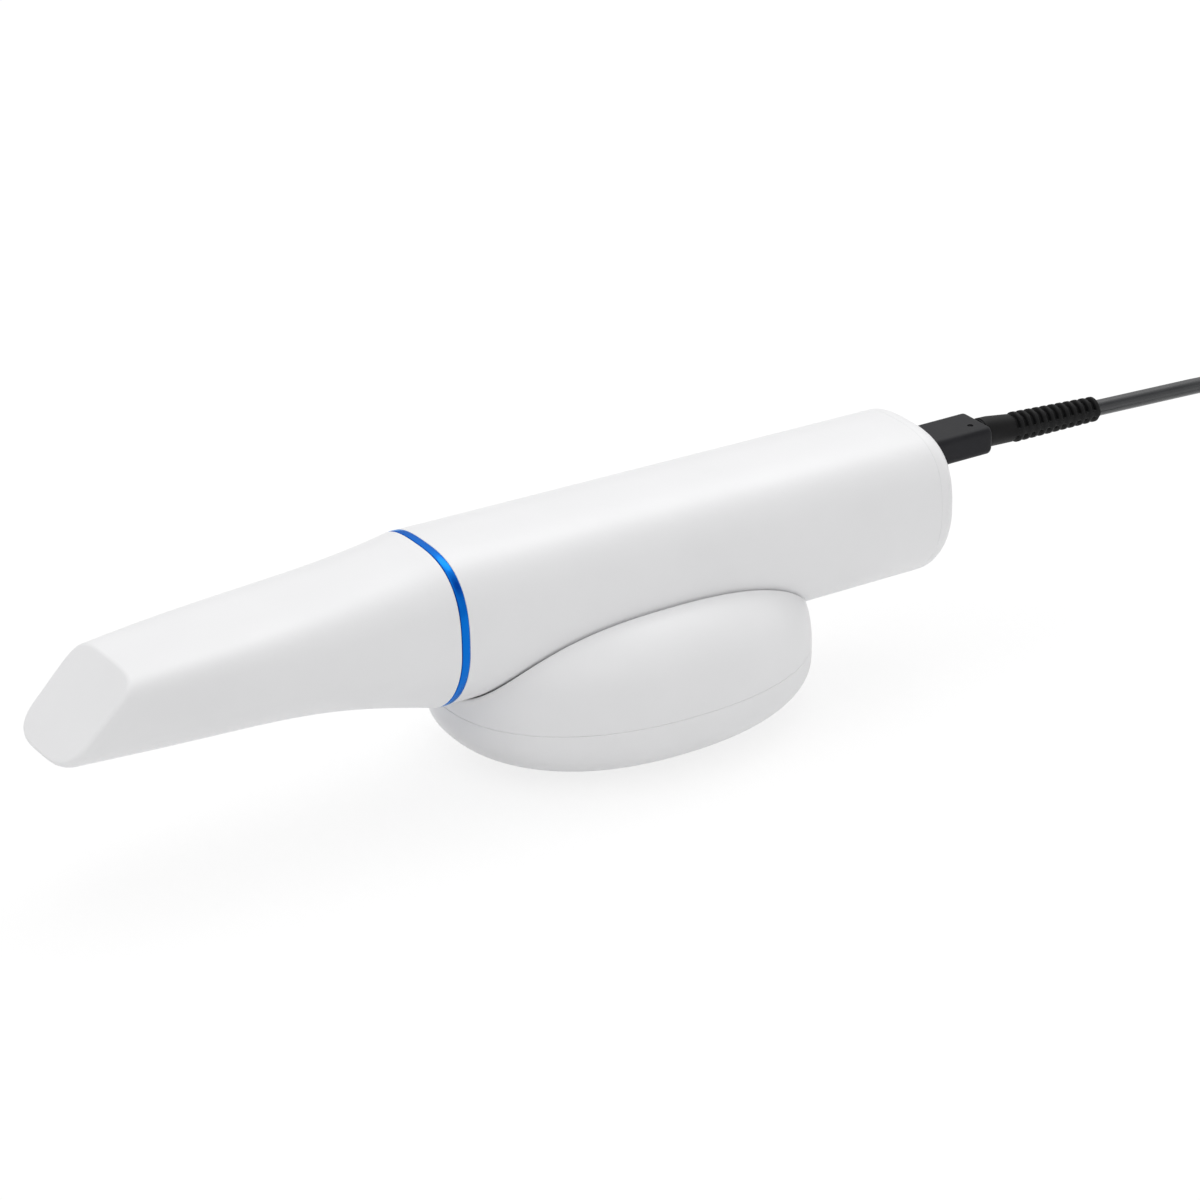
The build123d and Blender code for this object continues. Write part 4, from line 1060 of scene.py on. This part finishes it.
# Stage: pale floor, soft light and the camera
CAMERA_TARGET = np.array([27.24, 0.0, 32.78]) * MM
CAMERA_AZIMUTH, CAMERA_ELEVATION = math.radians(-32.932), math.radians(25.772)
CAMERA_DISTANCE = 1.0
CAMERA_LENS = 131.6
SURROUND_LEVEL = 0.375  # the studio's surround: a mean level, a slope across it, and two dim patches
SURROUND_SLOPE = (0.212, -0.146, 1.149)
PATCHES = (  # way to a dim patch, its depth, and the power of the cosine it falls off by
    ((0.489, -0.45, 0.748), 1.37, 10.0),
    ((-0.49, -0.755, 0.435), 0.35, 9.0),
)
LAMP_PLACE, LAMP_AIM = (0.71, 0.45, 1.28), (0.03, 0.0, 0.04)
LAMP_SIZE, LAMP_WATTS = 0.65, 2.2
SURROUND_LEAST = 0.03
FLOOR_SIZE = 12.0
FLOOR_SHOWN, FLOOR_GLOW = 0.22, 0.8  # what the eye sees of the floor's shading, and its plain white


def seen_white(tree):
    """Light Path mask: 1 for camera, glossy and transmission rays, which see the plain white floor."""
    path = add(tree, "ShaderNodeLightPath")
    mask = path.outputs["Is Camera Ray"]
    for ray in ("Is Glossy Ray", "Is Transmission Ray"):
        mask = add(tree, "ShaderNodeMath", {0: mask, 1: path.outputs[ray]}, operation="MAXIMUM").outputs[0]
    return mask


def floor_piece():
    """Pale floor: matt white for light, and to the eye mostly plain white, so that a soft shadow shows."""
    size = FLOOR_SIZE
    corners = [(-size, -size, 0), (size, -size, 0), (size, size, 0), (-size, size, 0)]
    mesh = bpy.data.meshes.new("floor")
    mesh.from_pydata(corners, [], [(0, 1, 2, 3)])
    floor = placed("floor", mesh)
    made = bpy.data.materials.new("pale floor")
    made.use_nodes = True
    tree = made.node_tree
    tree.nodes.clear()
    matt = add(tree, "ShaderNodeBsdfDiffuse", {"Color": hex_linear("#f0f0f0")})
    faint = add(tree, "ShaderNodeBsdfDiffuse", {"Color": (FLOOR_SHOWN, FLOOR_SHOWN, FLOOR_SHOWN, 1)})
    glow = add(tree, "ShaderNodeEmission", {"Color": (1, 1, 1, 1), "Strength": FLOOR_GLOW})
    shown = add(tree, "ShaderNodeAddShader", {0: faint.outputs[0], 1: glow.outputs[0]})
    mix = add(tree, "ShaderNodeMixShader", {0: seen_white(tree), 1: matt.outputs[0], 2: shown.outputs[0]})
    add(tree, "ShaderNodeOutputMaterial", {"Surface": mix.outputs[0]})
    mesh.materials.append(made)


def surround():
    """World light by direction: a level plus a slope along a vector, less two patches of a cosine's power."""
    world = bpy.data.worlds.new("studio")
    bpy.context.scene.world = world
    world.use_nodes = True
    tree = world.node_tree
    tree.nodes.clear()
    way = add(tree, "ShaderNodeTexCoord").outputs["Generated"]
    slope = add(tree, "ShaderNodeVectorMath", {0: way, 1: SURROUND_SLOPE}, operation="DOT_PRODUCT")
    level = add(tree, "ShaderNodeMath", {0: slope.outputs["Value"], 1: SURROUND_LEVEL}, operation="ADD")
    for patch, depth, exponent in PATCHES:
        towards = add(tree, "ShaderNodeVectorMath", {0: way, 1: patch}, operation="DOT_PRODUCT")
        ahead = add(tree, "ShaderNodeMath", {0: towards.outputs["Value"], 1: 0.0}, operation="MAXIMUM")
        lobe = add(tree, "ShaderNodeMath", {0: ahead.outputs[0], 1: exponent}, operation="POWER")
        inputs = {0: lobe.outputs[0], 1: -depth, 2: level.outputs[0]}
        level = add(tree, "ShaderNodeMath", inputs, operation="MULTIPLY_ADD")
    light = add(tree, "ShaderNodeMath", {0: level.outputs[0], 1: SURROUND_LEAST}, operation="MAXIMUM")
    shown = add(tree, "ShaderNodeBackground", {"Color": (1, 1, 1, 1), "Strength": light.outputs[0]})
    add(tree, "ShaderNodeOutputWorld", {"Surface": shown.outputs[0]})


def studio():
    """Soft box above and behind, and the camera at the photograph's angle."""
    scene = bpy.context.scene
    scene.view_settings.view_transform = "Standard"
    lamp = bpy.data.lights.new("overhead", "AREA")
    lamp.shape = "SQUARE"
    lamp.size = LAMP_SIZE
    lamp.energy = LAMP_WATTS
    holder = placed("overhead", lamp)
    holder.location = LAMP_PLACE
    holder.rotation_euler = (Vector(LAMP_AIM) - Vector(LAMP_PLACE)).to_track_quat("-Z", "Y").to_euler()
    camera = placed("camera", bpy.data.cameras.new("camera"))
    level, up = math.cos(CAMERA_ELEVATION), math.sin(CAMERA_ELEVATION)
    back = np.array([math.sin(CAMERA_AZIMUTH) * level, -math.cos(CAMERA_AZIMUTH) * level, up])
    camera.location = CAMERA_TARGET + back * CAMERA_DISTANCE
    camera.rotation_euler = Vector(-back).to_track_quat("-Z", "Y").to_euler()
    camera.data.lens = CAMERA_LENS
    camera.data.sensor_width = 36.0
    camera.data.clip_start = 0.01
    scene.camera = camera


floor_piece()
surround()
studio()
